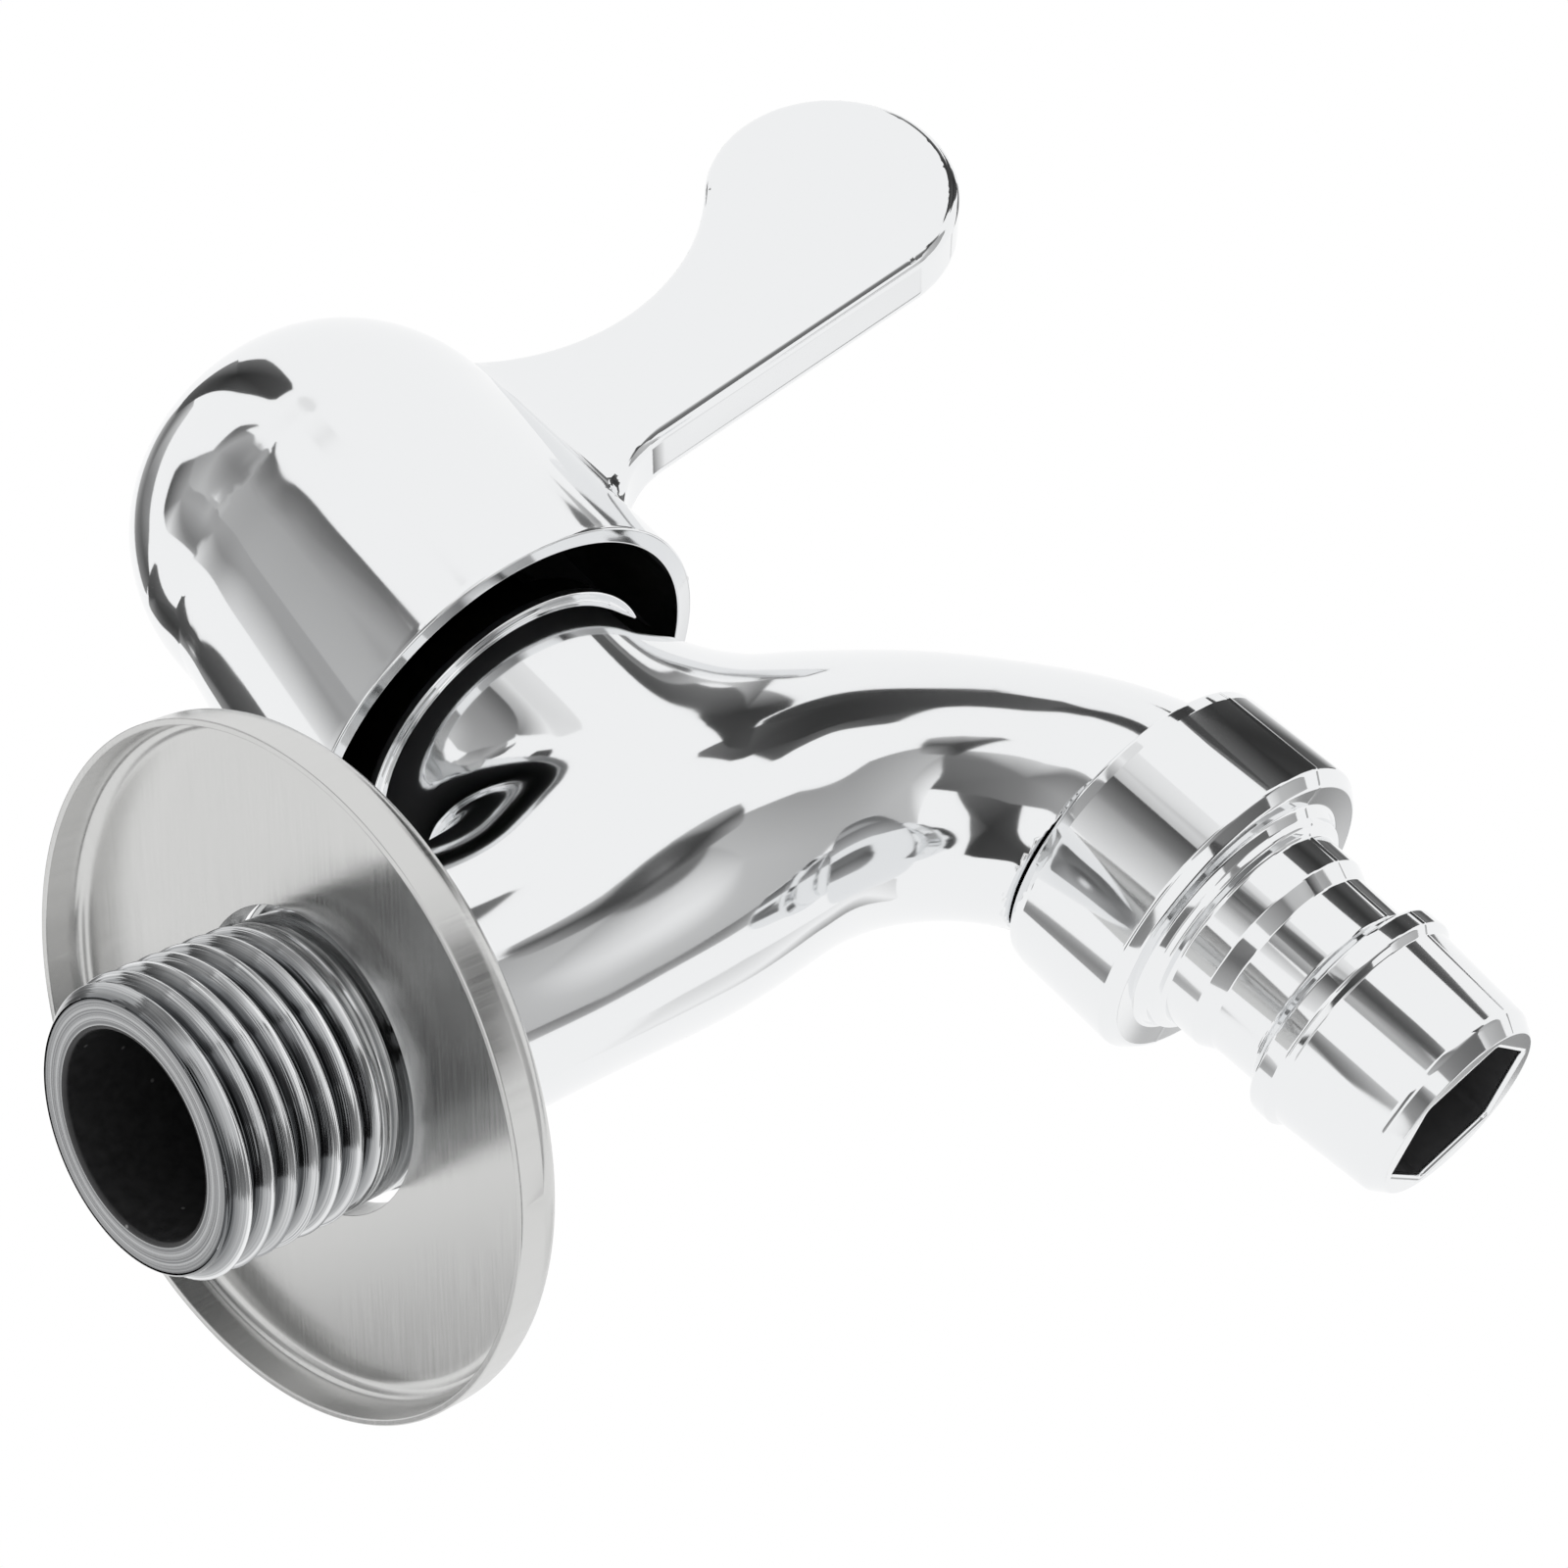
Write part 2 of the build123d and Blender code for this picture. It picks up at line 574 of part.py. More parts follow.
def screw_washer():
    """Split spring washer under the screw's head."""
    seat = BOSS_WEB_Z + BOSS_WEB
    washer = ring(SCREW_HEAD_R, SCREW_HOLE_R - 0.1, seat, seat + WASHER_THICK)
    return washer - Rot(0, 0, 20) * Pos(SCREW_HEAD_R, 0, seat) * Box(*WASHER_SPLIT)


def handle_plug():
    """Cover for the screw well, its top cut to the dome's own curve."""
    crown = DOME_SHOULDER_Z + DOME_CAP
    plug = drum(PLUG_R, crown - PLUG_THICK, crown + 1)
    plug &= Pos(0, 0, PLUG_PROUD) * dome_form()
    return plug + ring(PLUG_R, PLUG_R - PLUG_WALL, crown - PLUG_SKIRT, crown - PLUG_THICK + 0.1)


CHROME = (0.82, 0.83, 0.84)
STEEL = (0.7, 0.71, 0.72)
BRASS = (0.78, 0.62, 0.3)
BLACK_RUBBER = (0.05, 0.05, 0.05)
CERAMIC = (0.92, 0.9, 0.86)
NYLON = (0.86, 0.86, 0.82)

keep("tap_body", tap_body(), CHROME)
keep("hose_nozzle", hose_nozzle(), CHROME)
keep("nozzle_washer", nozzle_washer(), BLACK_RUBBER)
keep("wall_flange", wall_flange(), STEEL)
for name, make, colour in (
    ("handle", handle, CHROME),
    ("cartridge_housing", cartridge_housing, BRASS),
    ("housing_seal", housing_seal, BLACK_RUBBER),
    ("seat_seal", seat_seal, BLACK_RUBBER),
    ("seal_support_ring", seal_support_ring, NYLON),
    ("fixed_disc", fixed_disc, CERAMIC),
    ("moving_disc", moving_disc, CERAMIC),
    ("spindle", spindle, BRASS),
    ("glide_washer", glide_washer, NYLON),
    ("spindle_circlip", spindle_circlip, STEEL),
    ("spline_adapter", spline_adapter, NYLON),
    ("screw_washer", screw_washer, STEEL),
    ("handle_screw", handle_screw, STEEL),
    ("handle_plug", handle_plug, CHROME),
):
    keep(name, to_rest(make()), colour)
for name, level in zip(("lower_spindle_ring", "upper_spindle_ring"), RING_LEVELS):
    keep(name, to_rest(spindle_ring(level)), BLACK_RUBBER)

os.makedirs("parts", exist_ok=True)
for node, shape in NODES.items():
    export_step(shape, f"parts/{node}.step")
    print(node, round(shape.volume, 1), len(shape.solids()))
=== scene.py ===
import logging
import math
from dataclasses import dataclass
from enum import Enum
from typing import Callable, Sequence

import bpy
import numpy as np
from mathutils import Matrix, Vector


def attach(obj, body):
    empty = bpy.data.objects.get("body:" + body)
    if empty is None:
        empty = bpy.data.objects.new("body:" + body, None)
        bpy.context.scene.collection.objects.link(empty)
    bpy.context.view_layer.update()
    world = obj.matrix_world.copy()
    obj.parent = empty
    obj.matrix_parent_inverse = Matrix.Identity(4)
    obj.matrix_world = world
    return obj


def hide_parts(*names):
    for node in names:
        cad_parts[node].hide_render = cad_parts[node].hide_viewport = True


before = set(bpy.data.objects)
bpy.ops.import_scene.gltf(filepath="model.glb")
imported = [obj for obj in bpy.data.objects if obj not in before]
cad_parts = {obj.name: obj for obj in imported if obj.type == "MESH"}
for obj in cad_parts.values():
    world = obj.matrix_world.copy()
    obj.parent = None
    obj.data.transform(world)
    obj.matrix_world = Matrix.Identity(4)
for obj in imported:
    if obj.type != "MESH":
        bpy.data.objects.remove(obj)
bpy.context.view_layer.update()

LOG = logging.getLogger("garden_tap")
MM = 0.001
TAU = 2 * math.pi
Array = np.ndarray
Field = Callable[[Array], Array]
Material = bpy.types.Material
Socket = bpy.types.NodeSocket
Tree = bpy.types.NodeTree
Colour = tuple[float, float, float, float] | Socket
Range = tuple[float, float]
Stops = Sequence[tuple[float, float]]

LEAST_AREA = 1e-7  # Twice a face's area in mm2, under which it is left out
SPECK_GAP = 8  # Cells of the speck pattern, in widths of a speck
GRAIN_RANGE = (0.3, 0.7)  # Where nearly all of a noise's values lie


class Body(Enum):
    """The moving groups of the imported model."""

    TAP = "tap"
    LEVER = "lever"
    FLANGE = "flange"


class Slot(Enum):
    """The record's material slots; no new piece is given one."""

    CASTING = "plated_casting"
    MOULDING = "plated_moulding"
    SHEET = "pressed_sheet"


class Axis(Enum):
    """The direction that a turned piece's own axis takes."""

    UP = ((1, 0, 0), (0, 1, 0), (0, 0, 1))
    ALONG_X = ((0, 1, 0), (0, 0, 1), (1, 0, 0))


# Curves and distance fields


class SmoothLine:
    """A natural cubic spline through given points, measured by chord length."""

    chunk = 20000
    least_curve = 0.2

    def __init__(self, points: Sequence[Sequence[float]], samples: int = 400) -> None:
        """Fits the spline.

        Args:
            points: The points it passes through, one row each.
            samples: How many places the coarse search for the nearest point tries.
        """
        self.values = np.array(points, float)
        steps = np.linalg.norm(np.diff(self.values, axis=0), axis=1)
        self.knots = np.concatenate([[0.0], np.cumsum(steps)])
        self.bends = self._bends()
        self.tries = np.linspace(0, self.knots[-1], samples)
        self.tried = self.at(self.tries)

    def _bends(self) -> Array:
        """Returns the second derivative at each knot, zero at both ends."""
        gaps = np.diff(self.knots)
        count = len(self.knots)
        matrix = np.eye(count)
        right = np.zeros_like(self.values)
        slopes = np.diff(self.values, axis=0) / gaps[:, None]
        for row in range(1, count - 1):
            low, high = gaps[row - 1], gaps[row]
            matrix[row, row - 1 : row + 2] = low, 2 * (low + high), high
            right[row] = 6 * (slopes[row] - slopes[row - 1])
        return np.linalg.solve(matrix, right)

    def at(self, t: Array, order: int = 0) -> Array:
        """Returns the curve, or its first or second derivative, at some lengths.

        Args:
            t: Lengths along the chords.
            order: 0 for the point, 1 or 2 for a derivative.
        """
        index = np.clip(np.searchsorted(self.knots, t, side="right") - 1, 0, len(self.knots) - 2)
        gap = (self.knots[index + 1] - self.knots[index])[:, None]
        b = (t - self.knots[index])[:, None] / gap
        a = 1 - b
        low, high = self.values[index], self.values[index + 1]
        bend_low, bend_high = self.bends[index], self.bends[index + 1]
        if order == 0:
            curve = (a**3 - a) * bend_low + (b**3 - b) * bend_high
            return a * low + b * high + curve * gap**2 / 6
        if order == 1:
            curve = (3 * b**2 - 1) * bend_high - (3 * a**2 - 1) * bend_low
            return (high - low) / gap + curve * gap / 6
        return a * bend_low + b * bend_high

    def nearest(self, points: Array) -> Array:
        """Returns the length where the curve's first two columns come nearest to each point."""
        best = np.empty(len(points))
        for start in range(0, len(points), self.chunk):
            part = points[start : start + self.chunk]
            gaps = (part[:, None, 0] - self.tried[None, :, 0]) ** 2
            gaps += (part[:, None, 1] - self.tried[None, :, 1]) ** 2
            best[start : start + self.chunk] = self.tries[gaps.argmin(1)]
        for _ in range(2):
            away = self.at(best)[:, :2] - points
            speed = self.at(best, 1)[:, :2]
            swing = self.at(best, 2)[:, :2]
            slope = (away * speed).sum(1)
            curve = (speed**2).sum(1) + (away * swing).sum(1)
            best = np.clip(best - slope / np.maximum(curve, self.least_curve), 0, self.knots[-1])
        return best


def gradient(field: Field, points: Array, reach: float = 0.02) -> Array:
    """Returns a field's gradient by central differences.

    Args:
        field: The field to measure.
        points: Where to measure it, in millimetres.
        reach: Half the distance between the two samples.
    """
    result = np.empty_like(points)
    for axis in range(3):
        step = np.zeros(3)
        step[axis] = reach
        result[:, axis] = (field(points + step) - field(points - step)) / (2 * reach)
    return result


def unit(vectors: Array) -> Array:
    """Returns the vectors at length one."""
    return vectors / np.maximum(np.linalg.norm(vectors, axis=-1, keepdims=True), 1e-9)


def rolled(a: Array, b: Array, cosine: Array, radius: Array | float) -> Array:
    """Joins two distance fields by the fillet that a ball of some radius would roll.

    Args:
        a: Distance to the first surface.
        b: Distance to the second surface.
        cosine: Cosine of the angle between the two outward normals.
        radius: The ball's radius.

    Returns:
        The joined distance.
    """
    sine2 = np.maximum(1 - cosine**2, 1e-3)
    u, w = a - radius, b - radius
    on_first = (w * cosine - u) / sine2
    on_second = (u * cosine - w) / sine2
    length = np.sqrt(np.maximum(u**2 + w**2 - 2 * u * w * cosine, 0) / sine2)
    filled = (on_first > 0) & (on_second > 0)
    return np.where(filled, radius - length, np.minimum(a, b))


# Meshes


@dataclass
class Skin:
    """A mesh in the making: points in millimetres, four-sided faces and normals."""

    points: Array
    faces: Array
    normals: Array

    def kept(self, keep: Array) -> "Skin":
        """Returns the skin without the points that keep leaves out, and their faces."""
        number = np.cumsum(keep) - 1
        faces = self.faces[keep[self.faces].all(1)]
        return Skin(self.points[keep], number[faces], self.normals[keep])

    def edge_loop(self, chosen: Array, centre: Sequence[float], axis: int) -> Array:
        """Returns the open edge's points, in order round an axis.

        Args:
            chosen: Marks the points that the loop may use.
            centre: A point on the axis.
            axis: 0, 1 or 2 for X, Y or Z.
        """
        pairs = sides_of(self.faces)
        ordered = np.sort(pairs, axis=1)
        _, first, count = np.unique(ordered, axis=0, return_index=True, return_counts=True)
        rim = np.unique(pairs[first[count == 1]])
        rim = rim[chosen[rim]]
        across, up = (axis + 1) % 3, (axis + 2) % 3
        place = self.points[rim] - np.array(centre)
        return rim[np.argsort(np.arctan2(place[:, up], place[:, across]))]

    def with_rows(self, loop: Array, rows: Sequence[Array], flip: bool) -> "Skin":
        """Returns the skin with more rings of points grown from an open edge.

        Args:
            loop: The edge's points in order.
            rows: The new rings, each with a point for each of the loop's.
            flip: Turns the new faces over.
        """
        count, width = len(self.points), len(loop)
        rings = [loop] + [count + width * k + np.arange(width) for k in range(len(rows))]
        new_points = np.concatenate([self.points] + list(rows))
        faces = []
        for low, high in zip(rings, rings[1:]):
            quad = np.stack([low, np.roll(low, -1), np.roll(high, -1), high], 1)
            faces.append(quad[:, ::-1] if flip else quad)
        all_faces = np.concatenate([self.faces] + faces)
        normals = np.concatenate([self.normals, np.zeros((width * len(rows), 3))])
        fresh = np.zeros(len(new_points), bool)
        fresh[count:] = True
        normals[fresh] = point_normals(new_points, np.concatenate(faces))[fresh]
        return Skin(new_points, all_faces, normals)

    def joined(self, other: "Skin") -> "Skin":
        """Returns both skins as one."""
        return Skin(
            np.concatenate([self.points, other.points]),
            np.concatenate([self.faces, other.faces + len(self.points)]),
            np.concatenate([self.normals, other.normals]),
        )

    def centres(self) -> Array:
        """Returns the middle of each face."""
        return self.points[self.faces].mean(1)

    def turned(self, degrees: float, x: float) -> "Skin":
        """Returns the skin turned about the upright axis and moved along X."""
        angle = math.radians(degrees)
        turn = np.array(Matrix.Rotation(angle, 3, "Z"))
        return Skin(self.points @ turn.T + np.array([x, 0, 0]), self.faces, self.normals @ turn.T)


def sides_of(faces: Array) -> Array:
    """Returns the two ends of each face's four sides: all first sides, then all second ones."""
    return np.concatenate([faces[:, [k, (k + 1) % 4]] for k in range(4)])


def edges_of(faces: Array) -> Array:
    """Returns the two ends of each edge once."""
    return np.unique(np.sort(sides_of(faces), axis=1), axis=0)


def point_normals(points: Array, faces: Array) -> Array:
    """Returns each point's normal, averaged over its faces by area."""
    corners = points[faces]
    across = corners[:, 2] - corners[:, 0]
    along = corners[:, 3] - corners[:, 1]
    area = np.cross(across, along)
    total = np.zeros_like(points)
    for k in range(4):
        np.add.at(total, faces[:, k], area)
    return unit(total)


def surface_net(
    field: Field, low: Sequence[float], high: Sequence[float], cell: float
) -> tuple[Array, Array]:
    """Wraps a field's zero surface in four-sided faces, one point to a cell.

    Args:
        field: Negative inside the solid.
        low: The box's lowest corner.
        high: The box's highest corner.
        cell: The cell's width in millimetres.

    Returns:
        Points and faces.
    """
    axes = [np.arange(a, b + cell, cell) for a, b in zip(low, high)]
    grid = np.stack(np.meshgrid(*axes, indexing="ij"), -1)
    values = field(grid.reshape(-1, 3)).reshape(grid.shape[:3])
    shape = tuple(n - 1 for n in values.shape)
    total = np.zeros(shape + (3,))
    weight = np.zeros(shape)
    crossings = []
    for axis in range(3):
        a = values.take(range(values.shape[axis] - 1), axis)
        b = values.take(range(1, values.shape[axis]), axis)
        crossed = (a < 0) != (b < 0)
        share = np.where(crossed, a / np.where(crossed, a - b, 1), 0)
        place = grid.take(range(values.shape[axis] - 1), axis).copy()
        place[..., axis] += share * cell
        place *= crossed[..., None]
        crossings.append((crossed, a < 0))
        for side in range(4):
            cut = [slice(None)] * 3
            for bit, other in enumerate([(axis + 1) % 3, (axis + 2) % 3]):
                offset = side >> bit & 1
                cut[other] = slice(offset, offset + shape[other])
            total += place[tuple(cut)]
            weight += crossed[tuple(cut)]
    active = weight > 0
    number = np.full(shape, -1)
    number[active] = np.arange(active.sum())
    points = total[active] / weight[active][:, None]
    faces = []
    for axis, (crossed, below) in enumerate(crossings):
        b, c = (axis + 1) % 3, (axis + 2) % 3
        where = np.argwhere(crossed)
        where = where[(where[:, b] > 0) & (where[:, c] > 0)]
        where = where[(where[:, b] < shape[b]) & (where[:, c] < shape[c])]
        quad = []
        for step_b, step_c in ((1, 1), (0, 1), (0, 0), (1, 0)):
            place = where.copy()
            place[:, b] -= step_b
            place[:, c] -= step_c
            quad.append(number[tuple(place.T)])
        quad = np.stack(quad, 1)
        out = below[tuple(where.T)]
        quad[~out] = quad[~out][:, ::-1]
        faces.append(quad)
    return points, np.concatenate(faces)


def split_faces(points: Array, faces: Array) -> tuple[Array, Array]:
    """Returns the mesh with each face cut into four."""
    edges, inverse = np.unique(np.sort(sides_of(faces), axis=1), axis=0, return_inverse=True)
    count = len(points)
    middle = count + inverse.reshape(4, -1)
    centre = count + len(edges) + np.arange(len(faces))
    quads = [np.stack([faces[:, k], middle[k], centre, middle[k - 1]], 1) for k in range(4)]
    new_points = np.concatenate([points, points[edges].mean(1), points[faces].mean(1)])
    return new_points, np.concatenate(quads)


def settle(field: Field, points: Array, faces: Array, rounds: int = 2) -> Array:
    """Evens out a mesh while it keeps its points on a field's zero surface.

    Args:
        field: The field whose surface the points lie on.
        points: The points to move.
        faces: Their faces.
        rounds: How often to relax and put back.
    """
    own, least_slope = 0.4, 0.05
    pairs = edges_of(faces)
    for turn in range(rounds + 1):
        if turn:
            total = np.zeros_like(points)
            count = np.zeros(len(points))
            for a, b in ((0, 1), (1, 0)):
                np.add.at(total, pairs[:, a], points[pairs[:, b]])
                np.add.at(count, pairs[:, a], 1)
            points = points * own + (1 - own) * total / count[:, None]
        for _ in range(2):
            slope = gradient(field, points)
            size = np.maximum((slope**2).sum(1), least_slope)
            points = points - slope * (field(points) / size)[:, None]
    return points


def spread(normals: Array, faces: Array, rounds: int) -> Array:
    """Evens out normals over their neighbours, so that reflections run on where curves meet."""
    pairs = edges_of(faces)
    count = np.bincount(pairs.ravel(), minlength=len(normals))[:, None]
    for _ in range(rounds):
        total = np.zeros_like(normals)
        for axis in range(3):
            for a, b in (pairs.T, pairs.T[::-1]):
                total[:, axis] += np.bincount(a, normals[b, axis], len(normals))
        normals = unit(normals * 0.5 + 0.5 * total / np.maximum(count, 1))
    return normals


def skin_of(field: Field, low: Sequence[float], high: Sequence[float], cell: float) -> Skin:
    """Returns a smooth, even mesh of a field's zero surface, at half the cell's width."""
    points, faces = surface_net(field, low, high, cell)
    points = settle(field, points, faces)
    points, faces = split_faces(points, faces)
    points = settle(field, points, faces)
    return Skin(points, faces, unit(gradient(field, points)))


@dataclass(frozen=True)
class Corner:
    """A corner of a turned outline: radius, place along the axis, and its rounding."""

    radius: float
    place: float
    rounding: float = 0.12


def outline(corners: Sequence[Corner], steps: int = 5) -> tuple[Array, Array]:
    """Rounds the corners of an outline that keeps the material on its right.

    Args:
        corners: The corners in order. The first and last stay sharp.
        steps: Faces on each rounded corner.

    Returns:
        Points and normals, as radius and place.
    """
    most = 0.49
    spots = np.array([(c.radius, c.place) for c in corners])
    runs = unit(np.diff(spots, axis=0))
    left = np.stack([-runs[:, 1], runs[:, 0]], 1)
    points, normals = [spots[0]], [left[0]]
    for index in range(1, len(corners) - 1):
        before, after = runs[index - 1], runs[index]
        turn = math.atan2(before[0] * after[1] - before[1] * after[0], float(before @ after))
        reach = abs(corners[index].rounding * math.tan(turn / 2))
        room = min(
            np.linalg.norm(spots[index] - spots[index - 1]),
            np.linalg.norm(spots[index + 1] - spots[index]),
        )
        reach = min(reach, most * room)
        for step in range(steps + 1):
            share = step / steps
            a, b = spots[index] - before * reach, spots[index] + after * reach
            bow = (1 - share) ** 2 * a + 2 * share * (1 - share) * spots[index] + share**2 * b
            points.append(bow)
            normals.append(unit(left[index - 1] * (1 - share) + left[index] * share))
    points.append(spots[-1])
    normals.append(left[-1])
    return np.array(points), np.array(normals)


def turn_from(angle: Array | float, degrees: float) -> Array | float:
    """Returns how far angles lie from a direction, up to half a turn either way."""
    return (angle - math.radians(degrees) + math.pi) % TAU - math.pi


def level_ring(angles: Array, radius: float, z: float, x: float) -> Array:
    """Returns a level ring of points round a place on the X axis."""
    ring = [x + radius * np.cos(angles), radius * np.sin(angles), np.full(len(angles), z)]
    return np.stack(ring, 1)


def ring_angles(count: int, seams: Sequence[float] = ()) -> Array:
    """Returns angles round a ring, closer together at each moulding seam.

    Args:
        count: How many even angles.
        seams: The seams' angles in degrees.
    """
    half, step, fine = 0.06, 0.008, 7
    angles = [k / count * TAU for k in range(count)]
    for seam in seams:
        angles = [a for a in angles if abs(turn_from(a, seam)) > half]
        angles += [(math.radians(seam) + k * step) % TAU for k in range(-fine, fine + 1)]
    return np.array(sorted(angles))


def lathe(
    points: Array,
    normals: Array,
    angles: Array,
    axis: Axis,
    origin: Sequence[float] = (0, 0, 0),
    lift: Callable[[Array, Array], Array] | None = None,
) -> Skin:
    """Turns an outline about an axis.

    Args:
        points: The outline, as radius and place.
        normals: Its normals.
        angles: Where the columns stand.
        axis: The axis's direction.
        origin: A point on the axis.
        lift: Adds to the radius at each place and angle, for seams and dents.

    Returns:
        The turned skin.
    """
    across, up, along = (np.array(v, float) for v in axis.value)
    rows, columns = len(points), len(angles)
    spokes = np.cos(angles)[:, None] * across + np.sin(angles)[:, None] * up
    radius = np.repeat(points[:, :1], columns, 1)
    place = np.repeat(points[:, 1:], columns, 1)
    if lift is not None:
        radius = radius + lift(place, np.repeat(angles[None, :], rows, 0))
    body = radius[..., None] * spokes[None] + place[..., None] * along + np.array(origin, float)
    wall = normals[:, None, :1] * spokes[None] + normals[:, None, 1:] * along
    index = np.arange(rows * columns).reshape(rows, columns)
    a, b = index[:-1], index[1:]
    quads = np.stack([a, np.roll(a, -1, 1), np.roll(b, -1, 1), b], -1).reshape(-1, 4)
    skin = Skin(body.reshape(-1, 3), quads, wall.reshape(-1, 3))
    probe = point_normals(skin.points, skin.faces)
    if (probe * skin.normals).sum() < 0:
        skin.faces = skin.faces[:, ::-1]
    if lift is not None:
        skin.normals = point_normals(skin.points, skin.faces)
    return skin


def linked(name: str, data: bpy.types.ID) -> bpy.types.Object:
    """Returns a new object in the scene."""
    made = bpy.data.objects.new(name, data)
    bpy.context.scene.collection.objects.link(made)
    return made


def piece(
    name: str,
    skin: Skin,
    body: Body,
    finishes: Sequence[Material],
    marks: Array | None = None,
) -> bpy.types.Object:
    """Makes a Blender object from a skin and fixes it to its body.

    Args:
        name: The piece's name.
        skin: Its mesh, in millimetres.
        body: The body that it moves with.
        finishes: Its materials.
        marks: The number of each face's material, or the first on every face.

    Returns:
        The new object.
    """
    corners = skin.points[skin.faces]
    area = np.cross(corners[:, 2] - corners[:, 0], corners[:, 3] - corners[:, 1])
    full = np.linalg.norm(area, axis=1) > LEAST_AREA
    faces = skin.faces[full]
    mesh = bpy.data.meshes.new(name)
    mesh.from_pydata((skin.points * MM).tolist(), [], faces.tolist())
    mesh.update()
    mesh.shade_smooth()
    mesh.normals_split_custom_set_from_vertices(skin.normals.tolist())
    for finish in finishes:
        mesh.materials.append(finish)
    if marks is not None:
        mesh.polygons.foreach_set("material_index", marks[full].astype(np.int32))
    made = linked(name, mesh)
    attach(made, body.value)
    LOG.info("%s: %d faces on %s", name, len(faces), body.value)
    return made


# Finishes


def linear_share(value: float) -> float:
    """Returns an sRGB share, from 0 to 1, as linear light."""
    return value / 12.92 if value <= 0.04045 else ((value + 0.055) / 1.055) ** 2.4


def linear(code: str) -> tuple[float, float, float, float]:
    """Returns an sRGB hex colour as linear red, green, blue and alpha."""
    red, green, blue = (linear_share(int(code[k : k + 2], 16) / 255) for k in (1, 3, 5))
    return (red, green, blue, 1.0)


def add(tree: Tree, kind: str, inputs: dict | None = None) -> bpy.types.Node:
    """Adds a node.

    Args:
        tree: The node tree.
        kind: The node's type name, without ShaderNode before it.
        inputs: By an input's label or number, its value or the socket that feeds it. Any
            other name is an attribute of the node.

    Returns:
        The node.
    """
    node = tree.nodes.new("ShaderNode" + kind)
    for key, value in (inputs or {}).items():
        if isinstance(value, bpy.types.NodeSocket):
            tree.links.new(value, node.inputs[key])
        elif isinstance(key, str) and key not in node.inputs:
            setattr(node, key, value)
        else:
            node.inputs[key].default_value = value
    return node


def noise(tree: Tree, place: Socket, size_mm: float, detail: float, roughness: float) -> Socket:
    """Returns noise of some grain size over a place."""
    inputs = {"Scale": 1 / (size_mm * MM), "Detail": detail, "Roughness": roughness}
    return add(tree, "TexNoise", {**inputs, "Vector": place}).outputs["Fac"]


def specks(tree: Tree, place: Socket, size_mm: float, stops: Stops) -> Socket:
    """Returns round specks scattered over a place.

    Args:
        tree: The node tree.
        place: The coordinates that they lie in.
        size_mm: About how wide a speck is.
        stops: Distances from a speck's middle, and how strong it is there, from 0 to 1.
    """
    inputs = {"Scale": 1 / (size_mm * SPECK_GAP * MM), "Randomness": 1.0, "Vector": place}
    cell = add(tree, "TexVoronoi", inputs)
    node = add(tree, "ValToRGB", {"Fac": cell.outputs["Distance"]})
    bar = node.color_ramp
    while len(bar.elements) < len(stops):
        bar.elements.new(0.5)
    for element, (spot, value) in zip(bar.elements, stops):
        element.position = spot
        element.color = (value, value, value, 1)
    return node.outputs["Color"]


def remap(tree: Tree, value: Socket, source: Range, target: Range = (0.0, 1.0)) -> Socket:
    """Returns a value stretched from one range to another and held inside it."""
    ends = dict(zip(("From Min", "From Max", "To Min", "To Max"), source + target))
    return add(tree, "MapRange", {**ends, "Value": value}).outputs["Result"]


def blend(tree: Tree, share: Socket, low: Colour, high: Colour) -> Socket:
    """Returns a mix of two colours, each a linear colour or a socket.

    Labels repeat on this node, so the two colours and the result go by number.
    """
    inputs = {"data_type": "RGBA", "Factor": share, 6: low, 7: high}
    return add(tree, "Mix", inputs).outputs[2]


def mottled(tree: Tree, grain: Socket, roughness: float, swing: Range) -> Socket:
    """Returns a roughness that the grain swings between two shares of itself."""
    return remap(tree, grain, GRAIN_RANGE, (roughness * swing[0], roughness * swing[1]))


def fresh_tree(name: str) -> tuple[Material, Tree]:
    """Returns a new material and its emptied node tree."""
    material = bpy.data.materials.new(name)
    material.use_nodes = True
    material.node_tree.nodes.clear()
    return material, material.node_tree


def coat(
    material: Material,
    inputs: dict,
    height: Socket | None = None,
    relief_mm: float = 0.0,
    strength: float = 1.0,
) -> Material:
    """Ends a finish with its shader.

    Args:
        material: The material.
        inputs: The shader's inputs by label, as values or sockets.
        height: What the relief follows, if there is one.
        relief_mm: How high the relief is.
        strength: How much of the relief shows, from 0 to 1.

    Returns:
        The material.
    """
    tree = material.node_tree
    if height is not None:
        relief = {"Strength": strength, "Distance": relief_mm * MM, "Height": height}
        inputs["Normal"] = add(tree, "Bump", relief).outputs["Normal"]
    shader = add(tree, "BsdfPrincipled", inputs)
    add(tree, "OutputMaterial", {"Surface": shader.outputs["BSDF"]})
    return material


